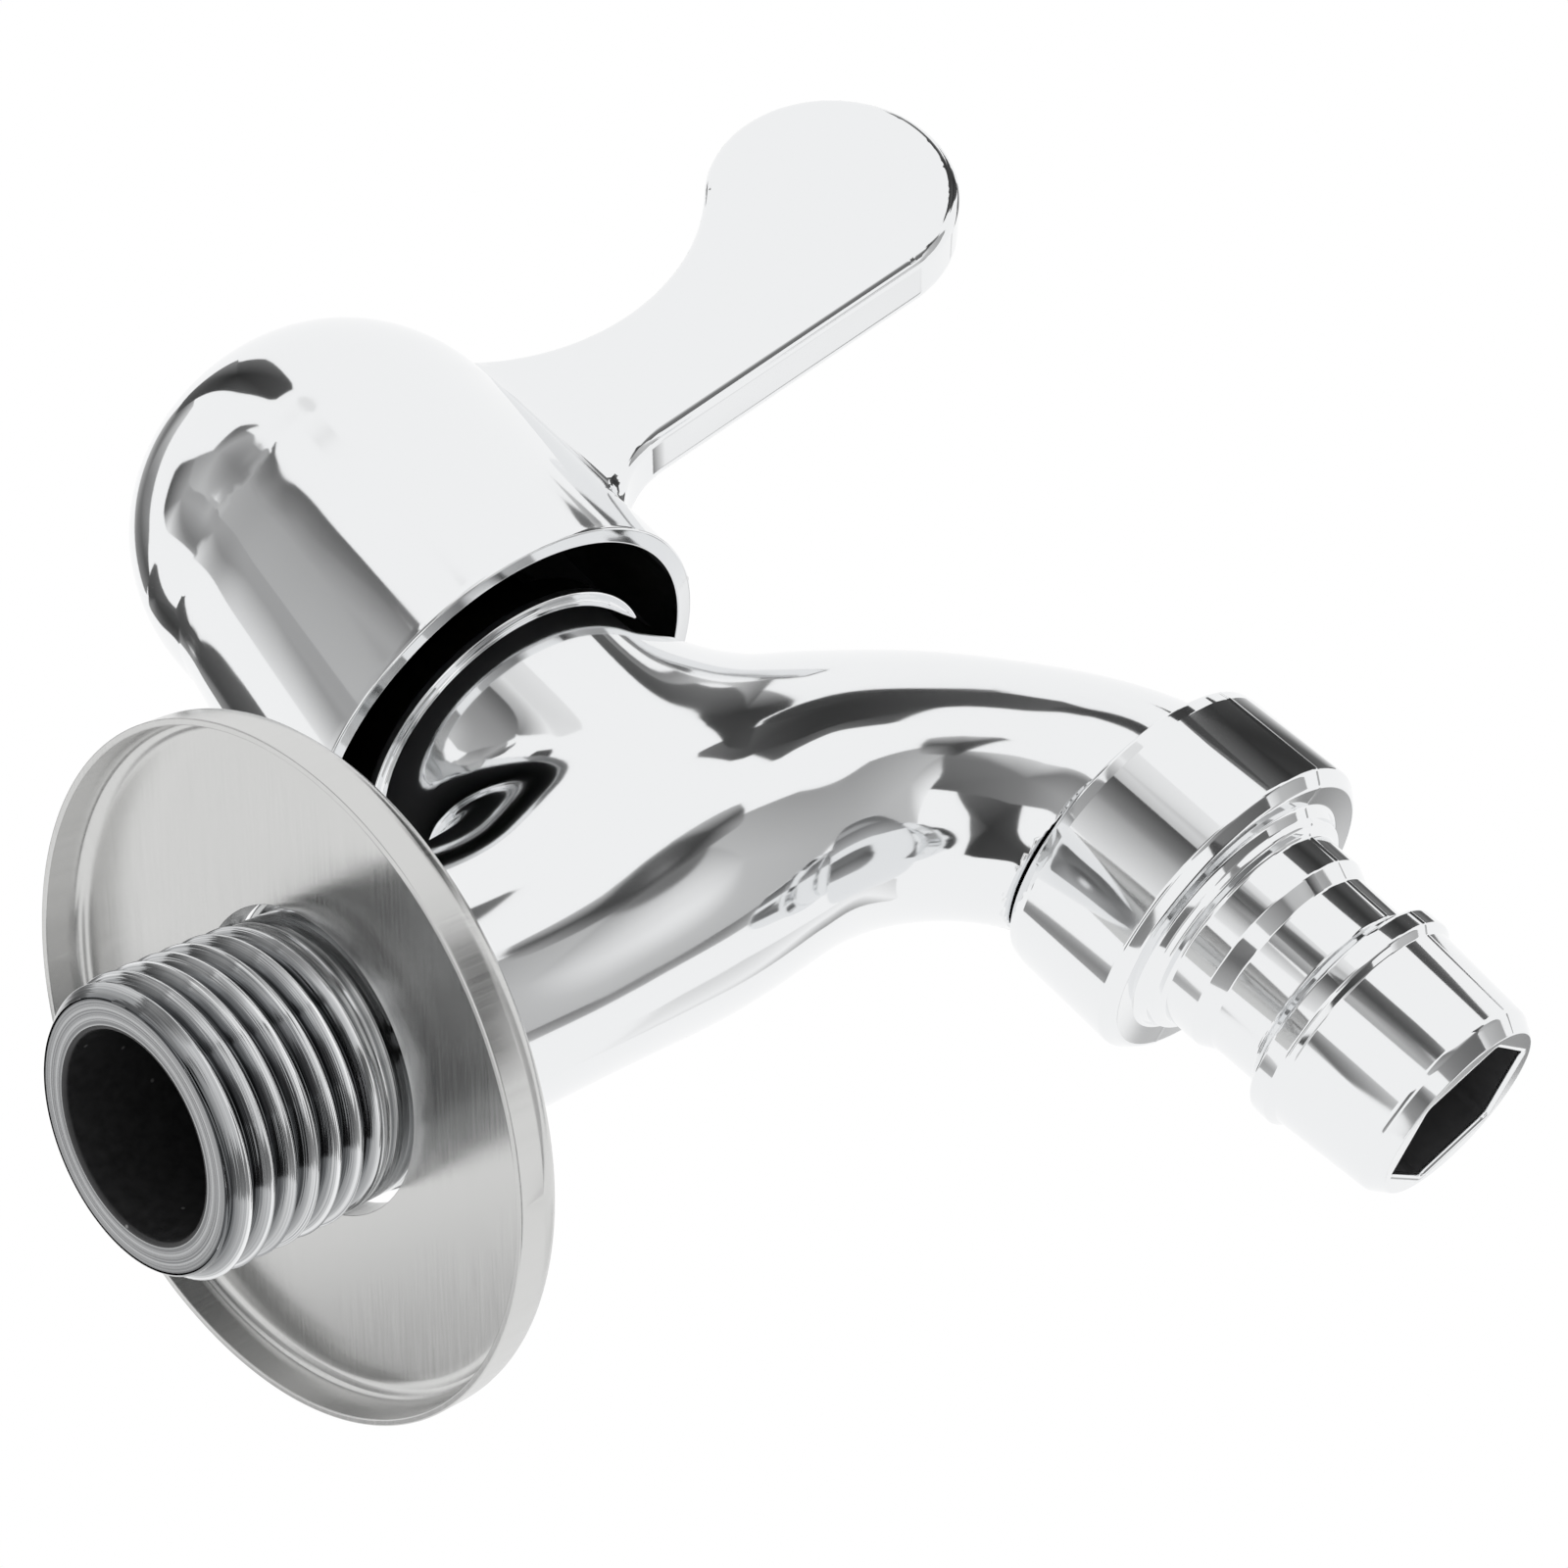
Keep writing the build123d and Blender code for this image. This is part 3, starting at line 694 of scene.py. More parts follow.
@dataclass(frozen=True)
class ChromePlate:
    """Bright chrome over a polished casting or moulding.

    The plate is a mirror that copies the polishing under it: long soft waves from the mop,
    and a few fine hairlines and specks that only show where a dark reflection lies.
    """

    name: str = "bright_chrome_plate"
    colour: str = "#EEEFF0"
    roughness: float = 0.045
    rubbed: float = 1.9
    rub_mm: float = 22.0
    rub_range: Range = (0.35, 0.7)
    wave_mm: float = 9.0
    wave_height_mm: float = 0.0016
    speck_mm: float = 0.5
    speck_height: float = 0.06
    speck_stops: Stops = ((0.0, 1.0), (0.035, 1.0), (0.06, 0.0), (1.0, 0.0))

    def material(self) -> Material:
        """Returns the finish as a Blender material."""
        material, tree = fresh_tree(self.name)
        place = add(tree, "TexCoord").outputs["Object"]
        wave = noise(tree, place, self.wave_mm, detail=2.0, roughness=0.45)
        dots = specks(tree, place, self.speck_mm, self.speck_stops)
        rub = noise(tree, place, self.rub_mm, detail=3.0, roughness=0.6)
        rough = remap(tree, rub, self.rub_range, (self.roughness, self.roughness * self.rubbed))
        raised = {"operation": "MULTIPLY_ADD", 0: dots, 1: self.speck_height, 2: wave}
        height = add(tree, "Math", raised).outputs[0]
        inputs = {"Base Color": linear(self.colour), "Metallic": 1.0, "Roughness": rough}
        return coat(material, inputs, height, self.wave_height_mm)


@dataclass(frozen=True)
class TurnedPlate:
    """Chrome straight over turning, with no polish between.

    The tool's fine rings break each reflection into bright and dark lines, and torn metal
    between them stays dark. A thread's roots are darkened as painted shade, and its crests
    brightened a little as painted highlight.
    """

    name: str
    # crest and root: colour at the crests, brightened a little as painted highlight, and at the
    # roots, darkened as painted shade
    crest: str
    root: str
    torn: str
    roughness: float = 0.1
    crest_mm: float = 10.45
    root_mm: float = 9.5
    ring_mm: float = 0.42
    relief_mm: float = 0.05
    tears: Range = (0.36, 0.58)

    def material(self) -> Material:
        """Returns the finish as a Blender material."""
        material, tree = fresh_tree(self.name)
        place = add(tree, "TexCoord").outputs["Object"]
        split = add(tree, "SeparateXYZ", {"Vector": place}).outputs
        flat = add(tree, "CombineXYZ", {"Y": split["Y"], "Z": split["Z"]}).outputs[0]
        reach = add(tree, "VectorMath", {"operation": "LENGTH", 0: flat}).outputs["Value"]
        step = add(tree, "Math", {"operation": "ADD", 0: split["X"], 1: reach}).outputs[0]
        line = add(tree, "CombineXYZ", {"X": step}).outputs[0]
        rings = noise(tree, line, self.ring_mm, detail=2.0, roughness=0.6)
        # Painted shade: the colour darkens from crest to root, where shade falls between the
        # flanks
        depth = remap(tree, reach, (self.root_mm * MM, self.crest_mm * MM))
        tone = blend(tree, depth, linear(self.root), linear(self.crest))
        worn = blend(tree, remap(tree, rings, self.tears), linear(self.torn), tone)
        inputs = {"Base Color": worn, "Metallic": 1.0, "Roughness": self.roughness}
        return coat(material, inputs, rings, self.relief_mm)


@dataclass(frozen=True)
class PressedStainless:
    """Thin stainless sheet, brushed one way at the mill and then pressed.

    It mirrors the thread and the room, but the brushing smears that mirror across its lines.
    """

    name: str = "brushed_stainless_sheet"
    colour: str = "#D3D3D2"
    roughness: float = 0.19
    swing: Range = (0.85, 1.2)
    anisotropy: float = 0.9
    smear: tuple[float, float, float] = (0.0, 0.39, 0.92)
    lines: tuple[float, float, float] = (0.0, 0.92, -0.39)
    grain_mm: float = 0.22
    line_mm: float = 7.0
    relief_mm: float = 0.004
    relief_share: float = 0.2

    def material(self) -> Material:
        """Returns the finish as a Blender material."""
        material, tree = fresh_tree(self.name)
        place = add(tree, "TexCoord").outputs["Object"]
        sides = []
        for axis, length in ((self.smear, self.grain_mm), (self.lines, self.line_mm)):
            scaled = tuple(v / (length * MM) for v in axis)
            along = {"operation": "DOT_PRODUCT", 0: place, 1: scaled}
            sides.append(add(tree, "VectorMath", along).outputs["Value"])
        spot = add(tree, "CombineXYZ", {"X": sides[0], "Y": sides[1]}).outputs[0]
        grain = noise(tree, spot, 1 / MM, detail=3.0, roughness=0.65)
        rough = mottled(tree, grain, self.roughness, self.swing)
        tangent = add(tree, "CombineXYZ", dict(zip("XYZ", self.smear))).outputs[0]
        inputs = {
            "Base Color": linear(self.colour),
            "Metallic": 1.0,
            "Anisotropic": self.anisotropy,
            "Roughness": rough,
            "Tangent": tangent,
        }
        return coat(material, inputs, grain, self.relief_mm, self.relief_share)


@dataclass(frozen=True)
class PlainFinish:
    """A bare or hidden surface: one material with fine mottling in colour and gloss.

    The mottling keeps turned brass, moulded rubber, nylon and ceramic from looking like paint.
    """

    name: str
    colour: str
    dark: str
    roughness: float
    metallic: float = 0.0
    grain_mm: float = 0.5
    relief_mm: float = 0.01
    relief_share: float = 0.4
    swing: Range = (0.8, 1.2)
    speck: str | None = None
    speck_mm: float = 0.22
    speck_stops: Stops = ((0.0, 0.9), (0.06, 0.5), (0.11, 0.0), (1.0, 0.0))

    def material(self) -> Material:
        """Returns the finish as a Blender material."""
        material, tree = fresh_tree(self.name)
        place = add(tree, "TexCoord").outputs["Object"]
        grain = noise(tree, place, self.grain_mm, detail=4.0, roughness=0.6)
        colour = blend(tree, grain, linear(self.dark), linear(self.colour))
        if self.speck:
            dots = specks(tree, place, self.speck_mm, self.speck_stops)
            colour = blend(tree, dots, colour, linear(self.speck))
        rough = mottled(tree, grain, self.roughness, self.swing)
        inputs = {"Base Color": colour, "Metallic": self.metallic, "Roughness": rough}
        return coat(material, inputs, grain, self.relief_mm, self.relief_share)


# The tap's pieces, in millimetres and degrees


# The spout's middle line: place along X, height, and the spout's radius there
SPOUT_LINE = (
    (-2.0, 0.2, 10.8), (6.2, 0.5, 10.9), (14.0, 0.45, 10.3), (24.0, 0.9, 10.4),
    (34.0, 2.8, 12.1), (44.0, 4.1, 12.5), (52.0, 4.0, 11.7), (59.0, 2.6, 10.9),
    (65.5, 0.1, 10.5), (71.2, -3.5, 10.4), (75.4, -7.6, 10.75), (78.0, -12.8, 11.3),
    (78.7, -19.0, 11.4),
)


@dataclass
class TapBody:
    """The casting: a spout that swells under the valve, and the valve's neck."""

    finish: Material
    valve_x: float = 38.4
    neck_radius: float = 12.4
    blend_behind: float = 4.0
    blend_ahead: float = 11.0
    blend_behind_x: float = 29.0
    blend_ahead_x: float = 48.0
    neck_top: float = 19.3
    lip_radius: float = 13.1
    lip_low: float = 19.5
    lip_high: float = 20.3
    mouth_radius: float = 10.53
    start_x: float = 6.9
    start_z: float = 0.5
    shoulder: tuple[Range, ...] = (
        (10.9, 6.7), (10.85, 6.45), (10.7, 6.27), (10.5, 6.2), (10.2, 6.2),
    )
    end_x: float = 77.2
    end_z: float = -11.05
    end_from_x: float = 60.0
    edge_reach: float = 1.5
    low: tuple[float, float, float] = (2, -17, -17)
    high: tuple[float, float, float] = (92, 17, 24)
    cell: float = 1.1
    flow: int = 40

    def __post_init__(self) -> None:
        """Lays the spout's middle line."""
        self.line = SmoothLine(SPOUT_LINE)

    def field(self, points: Array) -> Array:
        """Returns the distance to the outside of spout and neck, with the fillet between them."""
        length = self.line.nearest(points[:, [0, 2]])
        middle = self.line.at(length)
        out = np.stack([points[:, 0] - middle[:, 0], points[:, 1], points[:, 2] - middle[:, 1]], 1)
        reach = np.linalg.norm(out, axis=1)
        spout = reach - middle[:, 2]
        side = np.stack([points[:, 0] - self.valve_x, points[:, 1]], 1)
        across = np.linalg.norm(side, axis=1)
        neck = across - self.neck_radius
        cosine = (out[:, :2] * side).sum(1) / np.maximum(reach * across, 1e-6)
        run = self.blend_ahead_x - self.blend_behind_x
        share = np.clip((points[:, 0] - self.blend_behind_x) / run, 0, 1)
        share = share * share * (3 - 2 * share)
        blend = self.blend_behind + (self.blend_ahead - self.blend_behind) * share
        joined = rolled(spout, neck, cosine, blend)
        return np.where(points[:, 2] > middle[:, 1], joined, spout)

    def build(self) -> None:
        """Makes the casting and closes its three open ends."""
        skin = skin_of(self.field, self.low, self.high, self.cell)
        keep = (skin.points[:, 0] > self.start_x) & (skin.points[:, 2] < self.neck_top)
        keep &= skin.points[:, 2] > self.end_z
        skin = skin.kept(keep)
        skin.normals = spread(skin.normals, skin.faces, self.flow)
        skin = self._close_end(self._close_neck(self._close_start(skin)))
        made = piece("body_casting", skin, Body.TAP, [self.finish])
        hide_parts("tap_body")

    def _close_start(self, skin: Skin) -> Skin:
        """Returns the skin with the shoulder behind the flange."""
        near = skin.points[:, 0] < self.start_x + self.edge_reach
        loop = skin.edge_loop(near, (0, 0, 0), 0)
        place = skin.points[loop]
        angles = np.arctan2(place[:, 2] - self.start_z, place[:, 1])
        outer, inner = self.shoulder[0][0], self.shoulder[-1][0]
        rows = []
        for radius, x in self.shoulder:
            middle = self.start_z * (radius - inner) / (outer - inner)
            flat = [radius * np.cos(angles), middle + radius * np.sin(angles)]
            rows.append(np.stack([np.full(len(loop), x), *flat], 1))
        return skin.with_rows(loop, rows, flip=False)

    def _close_neck(self, skin: Skin) -> Skin:
        """Returns the skin with the beaded lip at the neck's top."""
        near = skin.points[:, 2] > self.neck_top - self.edge_reach
        loop = skin.edge_loop(near, (self.valve_x, 0, 0), 2)
        place = skin.points[loop]
        angles = np.arctan2(place[:, 1], place[:, 0] - self.valve_x)
        corners = [
            Corner(self.lip_radius - 0.4, self.lip_low),
            Corner(self.lip_radius, self.lip_low, 0.2),
            Corner(self.lip_radius, self.lip_high, 0.25),
            Corner(self.mouth_radius, self.lip_high, 0.3),
            Corner(self.mouth_radius, self.lip_high - 3),
        ]
        points, _ = outline(corners)
        ledge = place.copy()
        ledge[:, 2] = self.lip_low
        rows = [ledge] + [level_ring(angles, r, z, self.valve_x) for r, z in points]
        return skin.with_rows(loop, rows, flip=False)

    def _close_end(self, skin: Skin) -> Skin:
        """Returns the skin with the flat end that the nozzle's collar meets."""
        near = skin.points[:, 2] < self.end_z + self.edge_reach
        near &= skin.points[:, 0] > self.end_from_x
        loop = skin.edge_loop(near, (self.end_x, 0, 0), 2)
        place = skin.points[loop]
        rows = []
        for share, drop in ((1.0, 0.0), (0.99, -0.05), (0.9, -0.05)):
            x = self.end_x + (place[:, 0] - self.end_x) * share
            z = np.full(len(loop), self.end_z + drop)
            rows.append(np.stack([x, place[:, 1] * share, z], 1))
        return skin.with_rows(loop, rows, flip=True)


@dataclass
class InletThread:
    """The half-inch pipe thread, cut and then plated, with the bare bore inside it."""

    finish: Material
    face_finish: Material
    bore_finish: Material
    start_x: float = -11.0
    runout_x: float = 0.2
    end_x: float = 1.9
    shank_x: float = 6.3
    pitch: float = 1.814
    crest_radius: float = 10.4775
    root_radius: float = 9.35
    shank_radius: float = 10.2
    face_radius: float = 9.5
    bore_radius: float = 7.26
    bore_end_x: float = 26.0
    port_radius: float = 4.0
    columns: int = 168
    crest: float = 0.16
    flank: float = 0.34
    bow: float = 0.125
    lead: float = 0.9
    face_skin: float = 0.02
    bore_skin: float = 0.3

    def tooth(self) -> Array:
        """Returns one pitch of the thread: share of the pitch and height from root to crest."""
        crest, flank, bow = self.crest, self.flank, self.bow
        root, tall = 1 - crest - 2 * flank, 1 - 2 * bow
        down, up = crest / 2, crest / 2 + flank + root
        arc, slant = np.linspace(0, 1, 6), np.linspace(0, 1, 5)[1:-1]
        swell = 4 * bow * (arc - 0.5) ** 2
        runs = [
            (crest * (arc - 0.5), 1 - swell),
            (down + flank * slant, 1 - bow - tall * slant),
            (down + flank + root * arc, swell),
            (up + flank * slant, bow + tall * slant),
        ]
        return np.concatenate([np.stack(run, 1) for run in runs])

    def thread(self) -> Skin:
        """Returns the helical flanks, running out into the shank."""
        tooth = self.tooth()
        turns = int((self.end_x - self.start_x) / self.pitch) + 3
        share = np.concatenate([tooth[:, 0] + turn for turn in range(-1, turns)])
        height = np.tile(tooth[:, 1], turns + 1)
        rows, columns, per_turn = len(share), self.columns, len(tooth)
        angles = np.arange(columns) / columns * TAU
        x = self.start_x + (share[:, None] + angles[None, :] / TAU) * self.pitch
        fade = np.clip((x - self.runout_x) / (self.end_x - self.runout_x), 0, 1)
        crest = self.crest_radius + (self.shank_radius - self.crest_radius) * fade
        root = self.root_radius + (self.shank_radius - self.root_radius) * fade
        lead = self.face_radius + np.maximum(x - self.start_x, 0) * self.lead
        radius = np.minimum(root + (crest - root) * height[:, None], lead)
        x = np.clip(x, self.start_x, self.end_x)
        points = np.stack([x, radius * np.cos(angles), radius * np.sin(angles)], -1)
        index = np.arange(rows * columns).reshape(rows, columns)
        beyond = np.roll(index, -per_turn, 0)[:, :1]
        beside = np.concatenate([index[:, 1:], beyond], 1)
        quads = np.stack([index[:-1], beside[:-1], beside[1:], index[1:]], -1)
        quads = quads[: rows - per_turn - 1].reshape(-1, 4)
        points = points.reshape(-1, 3)
        flat = points[quads][:, :, 0]
        outside = (flat <= self.start_x).all(1) | (flat >= self.end_x).all(1)
        quads = quads[~outside]
        normals = point_normals(points, quads)
        out = (normals[:, 1:] * points[:, 1:]).sum() > 0
        return Skin(points, quads if out else quads[:, ::-1], normals if out else -normals)

    def build(self) -> None:
        """Makes thread, shank, end face and bore."""
        angles = ring_angles(self.columns)
        face = [
            Corner(self.bore_radius, self.bore_end_x),
            Corner(self.bore_radius, self.start_x, 0.35),
            Corner(self.face_radius - 0.15, self.start_x, 0.15),
            Corner(self.face_radius, self.start_x + 0.12),
        ]
        shank = [Corner(self.shank_radius, self.end_x), Corner(self.shank_radius, self.shank_x)]
        skin = self.thread()
        for corners, way in ((face, 1), (shank, -1)):
            points, normals = outline(corners)
            skin = skin.joined(lathe(points, way * normals, angles, Axis.ALONG_X))
        end = self.bore_end_x
        spots = np.array([(self.bore_radius, end), (self.port_radius, end + 0.5)])
        walls = np.array([(0.0, -1.0)] * 2)
        skin = skin.joined(lathe(spots, walls, angles, Axis.ALONG_X))
        middle = skin.centres()
        marks = np.where(middle[:, 0] < self.start_x + self.face_skin, 1, 0)
        marks[np.hypot(middle[:, 1], middle[:, 2]) < self.bore_radius + self.bore_skin] = 2
        finishes = [self.finish, self.face_finish, self.bore_finish]
        piece("inlet_thread", skin, Body.TAP, finishes, marks)


@dataclass
class CoverFlange:
    """The pressed cup that hides the hole in the wall, with its three gripping dimples."""

    finish: Material
    sheet: float = 0.5
    radius: float = 24.8
    depth: float = 3.7
    corner: float = 1.7
    hole_radius: float = 11.0
    bend: float = 0.8
    neck_x: float = 5.7
    hole_wall: float = 2.4
    dimple_x: float = 4.75
    dimple_depth: float = 0.45
    dimple_length: float = 0.62
    dimple_width: float = 1.25
    fine_x: float = 3.0
    fine_step: float = 0.45
    columns: int = 240
    dimple_angles: tuple[float, ...] = (100.0, 220.0, 340.0)

    def dent(self, place: Array, angle: Array) -> Array:
        """Returns how far the dimples push the neck inwards."""
        depth = np.zeros_like(place)
        along = np.exp(-(((place - self.dimple_x) / self.dimple_length) ** 2))
        for degrees in self.dimple_angles:
            gap = turn_from(angle, degrees) * self.hole_radius / self.dimple_width
            depth -= self.dimple_depth * np.exp(-(gap**2)) * along
        return depth * (place > self.depth - self.sheet)

    def build(self) -> None:
        """Makes the pressing."""
        wall = self.sheet
        meeting = Corner(self.hole_radius, self.neck_x - self.hole_wall)
        corners = [
            meeting,
            Corner(self.hole_radius, self.neck_x),
            Corner(self.hole_radius + wall, self.neck_x),
            Corner(self.hole_radius + wall, self.depth, self.bend - wall / 2),
            Corner(self.radius, self.depth, self.corner + wall / 2),
            Corner(self.radius, 0.0),
            Corner(self.radius - wall, 0.0),
            Corner(self.radius - wall, self.depth - wall, self.corner - wall / 2),
            Corner(self.hole_radius, self.depth - wall, self.bend + wall / 2),
            meeting,
        ]
        points, normals = outline(corners, steps=8)
        spots, walls = [points[0]], [normals[0]]
        for a, b, na, nb in zip(points, points[1:], normals, normals[1:]):
            cuts = max(1, int(np.linalg.norm(b - a) / self.fine_step)) if a[1] > self.fine_x else 1
            for cut in range(1, cuts + 1):
                spots.append(a + (b - a) * cut / cuts)
                walls.append(nb if cut == cuts else na)
        angles = ring_angles(self.columns)
        skin = lathe(np.array(spots), -np.array(walls), angles, Axis.ALONG_X, lift=self.dent)
        made = piece("flange_pressing", skin, Body.FLANGE, [self.finish])
        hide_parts("wall_flange")


# The nozzle's outside, from the collar's back face to the nose: radius, place and rounding
NOZZLE_PROFILE = (
    (10.6, 0.0), (13.5, 0.0, 0.45), (13.68, -1.2, 0.6), (13.88, -10.4, 0.55),
    (13.0, -11.35, 0.5), (10.9, -11.25, 0.5), (10.35, -11.9, 0.35), (10.2, -12.5, 0.35),
    (9.3, -12.75, 0.4), (9.25, -15.8, 0.5), (8.55, -17.2, 0.5), (8.45, -21.6, 0.5),
    (9.95, -22.6, 0.45), (10.0, -24.3, 0.45), (9.45, -24.8, 0.25), (8.85, -33.2, 1.2),
    (7.9, -34.6, 0.6), (7.7, -34.6),
)


@dataclass
class HoseNozzle:
    """Collar and stepped nipple in one moulding, with mould seams and a hexagon socket."""

    finish: Material
    # bare: the dark finish of the socket and bore, painted shade in the recess
    bare: Material
    x: float = 78.4
    back_z: float = -11.2
    bore_radius: float = 5.6
    key_flats: float = 12.3
    key_depth: float = 8.0
    length: float = 34.6
    face_radius: float = 7.7
    seam_height: float = 0.07
    seam_width: float = 0.16
    seam_radius: float = 11.0
    key_corner: float = 1.135
    bore_top: float = 10.2
    shade_inset: float = 0.2
    shade_depth: float = 0.4
    columns: int = 216
    seam_angles: tuple[float, ...] = (-76.0, 104.0)

    def seam(self, place: Array, angle: Array) -> Array:
        """Returns the ridge that the two halves of the mould leave."""
        rise = np.zeros_like(place)
        for degrees in self.seam_angles:
            gap = turn_from(angle, degrees) * self.seam_radius / self.seam_width
            rise += self.seam_height * np.exp(-(gap**2))
        return rise * (place > -self.length + 0.2) * (place < -0.2)

    def hexagon(self, angles: Array, grow: float = 0.0) -> Array:
        """Returns the socket's radius at each angle, its corners slightly rounded."""
        fold = (angles + math.pi / 6) % (math.pi / 3) - math.pi / 6
        half = self.key_flats / 2
        return np.minimum((half + grow) / np.cos(fold), half * self.key_corner + grow)

    def socket(self, angles: Array) -> Skin:
        """Returns the end face, the hexagon's walls and floor, and the bore above."""
        spokes = np.stack([np.cos(angles), np.sin(angles), np.zeros_like(angles)], 1)
        down = np.array([0, 0, 1.0])
        rows = [self.face_radius * spokes - down * self.length]
        for grow, drop in ((0.42, 0.0), (0.22, 0.0), (0.09, -0.06), (0.02, -0.2), (0.0, -0.5)):
            wall = self.hexagon(angles, grow)[:, None] * spokes
            rows.append(wall - down * (self.length + drop))
        floor = self.length - self.key_depth
        for drop in (3.0, self.key_depth - 0.2, self.key_depth):
            rows.append(self.hexagon(angles)[:, None] * spokes - down * (self.length - drop))
        for grow, depth in ((1.02, floor), (1.0, floor - 0.15), (1.0, self.bore_top)):
            rows.append(self.bore_radius * grow * spokes - down * depth)
        count = len(angles)
        points = np.concatenate(rows)
        index = np.arange(len(rows) * count).reshape(len(rows), count)
        a, b = index[:-1], index[1:]
        quads = np.stack([a, b, np.roll(b, -1, 1), np.roll(a, -1, 1)], -1).reshape(-1, 4)
        normals = point_normals(points, quads)
        if normals[count // 2, 2] > 0:
            quads, normals = quads[:, ::-1], -normals
        return Skin(points + np.array([self.x, 0, self.back_z]), quads, normals)

    def build(self) -> None:
        """Makes the moulding."""
        points, normals = outline([Corner(*row) for row in NOZZLE_PROFILE], steps=6)
        angles = ring_angles(self.columns, self.seam_angles)
        origin = (self.x, 0, self.back_z)
        skin = lathe(points, normals, angles, Axis.UP, origin, self.seam)
        skin = skin.joined(self.socket(ring_angles(self.columns)))
        # The socket's walls and the bore get the dark finish: painted shade in the recess
        middle = skin.centres() - np.array(origin)
        deep = np.hypot(middle[:, 0], middle[:, 1]) < self.face_radius - self.shade_inset
        deep &= middle[:, 2] > self.shade_depth - self.length
        finishes = [self.finish, self.bare]
        made = piece("nozzle_moulding", skin, Body.TAP, finishes, deep)
        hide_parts("hose_nozzle")


@dataclass
class LeverHandle:
    """The hollow dome and its blade, drawn with the blade along X and then turned to rest.

    paddle, hollow and root are circles that the blade's outline follows: X, Z and radius.
    """

    finish: Material
    # bare: the dark inside finish, painted shade for the shade under the dome
    bare: Material
    valve_x: float = 38.4
    rest_degrees: float = -22.0
    rim_z: float = 20.1
    plated_rim: float = 1.7
    rim_radius: float = 18.5
    shoulder_z: float = 42.0
    shoulder_radius: float = 16.6
    cap: float = 16.3
    lean: float = 2.6
    fullness: float = 2.3
    wall: float = 1.35
    blade_half: float = 2.895
    blade_edge: float = 1.2
    low_z: float = 32.5
    paddle: tuple[float, float, float] = (53.9, 43.1, 10.6)
    hollow: tuple[float, float, float] = (32.0, 63.02, 19.0)
    hollow_end_x: float = 20.0
    root: tuple[float, float, float] = (26.6, 23.5, 9.0)
    root_blend: float = 3.0
    root_x: float = 13.0
    well_radius: float = 4.7
    boss_radius: float = 8.0
    boss_low: float = 36.4
    boss_bore: float = 5.62
    foot_z: float = 22.5
    blend_reach: float = 8.0
    crown_z: float = 52.0
    well_reach: float = 7.0
    plug_radius: float = 4.62
    rim_trim: float = 0.5
    edge_reach: float = 1.2
    shade_depth: float = 0.7
    low: tuple[float, float, float] = (-21, -20.5, 15)
    high: tuple[float, float, float] = (66, 20.5, 61)
    cell: float = 1.0

    def __post_init__(self) -> None:
        """Lays the dome's profile: radius, height, and how far its centre has moved over."""
        rows = []
        height = self.shoulder_z - self.rim_z
        for step in range(-2, 6):
            part = step / 6
            radius = self.rim_radius + (self.shoulder_radius - self.rim_radius) * part
            rows.append((radius, self.rim_z + height * part, self.lean * part))
        for rise in (0.0, 0.22, 0.42, 0.6, 0.75, 0.87, 0.95, 0.985):
            radius = self.shoulder_radius * (1 - rise**self.fullness) ** (1 / self.fullness)
            rows.append((radius, self.shoulder_z + self.cap * rise, self.lean))
        top = self.shoulder_z + self.cap * 0.999
        rows.append((2.0, top, self.lean))
        rows.append((-2.0, top, self.lean))
        rows.append((-rows[-3][0], rows[-3][1], self.lean))
        self.profile = SmoothLine(rows, samples=500)

    def dome(self, points: Array) -> tuple[Array, Array]:
        """Returns the distance to the dome and its outward normal."""
        part = np.clip((points[:, 2] - self.rim_z) / (self.shoulder_z - self.rim_z), -0.4, 1)
        side = points[:, 0] - self.lean * part
        across = np.hypot(side, points[:, 1])
        place = np.stack([across, points[:, 2]], 1)
        length = self.profile.nearest(place)
        spot = self.profile.at(length)[:, :2]
        run = unit(self.profile.at(length, 1)[:, :2])
        normal = np.stack([run[:, 1], -run[:, 0]], 1)
        gap = ((place - spot) * normal).sum(1)
        share = normal[:, 0] / np.maximum(across, 1e-6)
        return gap, np.stack([side * share, points[:, 1] * share, normal[:, 1]], 1)

    def blade(self, points: Array) -> Array:
        """Returns the distance to the blade with its rounded edges."""
        u, z = points[:, 0], points[:, 2]
        px, pz, pr = self.paddle
        hx, hz, hr = self.hollow
        rx, rz, rr = self.root
        disc = np.hypot(u - px, z - pz) - pr
        end_z = hz - math.sqrt(hr**2 - (hx - self.hollow_end_x) ** 2)
        slope = np.array([hx - self.hollow_end_x, hz - end_z]) / hr
        straight = (u - self.hollow_end_x) * slope[0] + (z - end_z) * slope[1]
        above = np.where(u < self.hollow_end_x, straight, hr - np.hypot(u - hx, z - hz))
        arc = np.where(z > rz, rr - np.hypot(u - rx, z - rz), u - (rx - rr))
        below = np.where(u > rx, self.low_z - z, arc)
        joint = np.array([hx - px, hz - pz]) / math.hypot(hx - px, hz - pz)
        cut = np.where(z > pz, (u - px) * joint[1] - (z - pz) * joint[0], u - px)
        neck = np.maximum.reduce([above, below, cut, self.foot_z - z, self.root_x - u])
        flat = np.minimum(disc, neck) + self.blade_edge
        deep = np.abs(points[:, 1]) - (self.blade_half - self.blade_edge)
        inner = np.minimum(np.maximum(flat, deep), 0)
        outer = np.hypot(np.maximum(flat, 0), np.maximum(deep, 0))
        return inner + outer - self.blade_edge

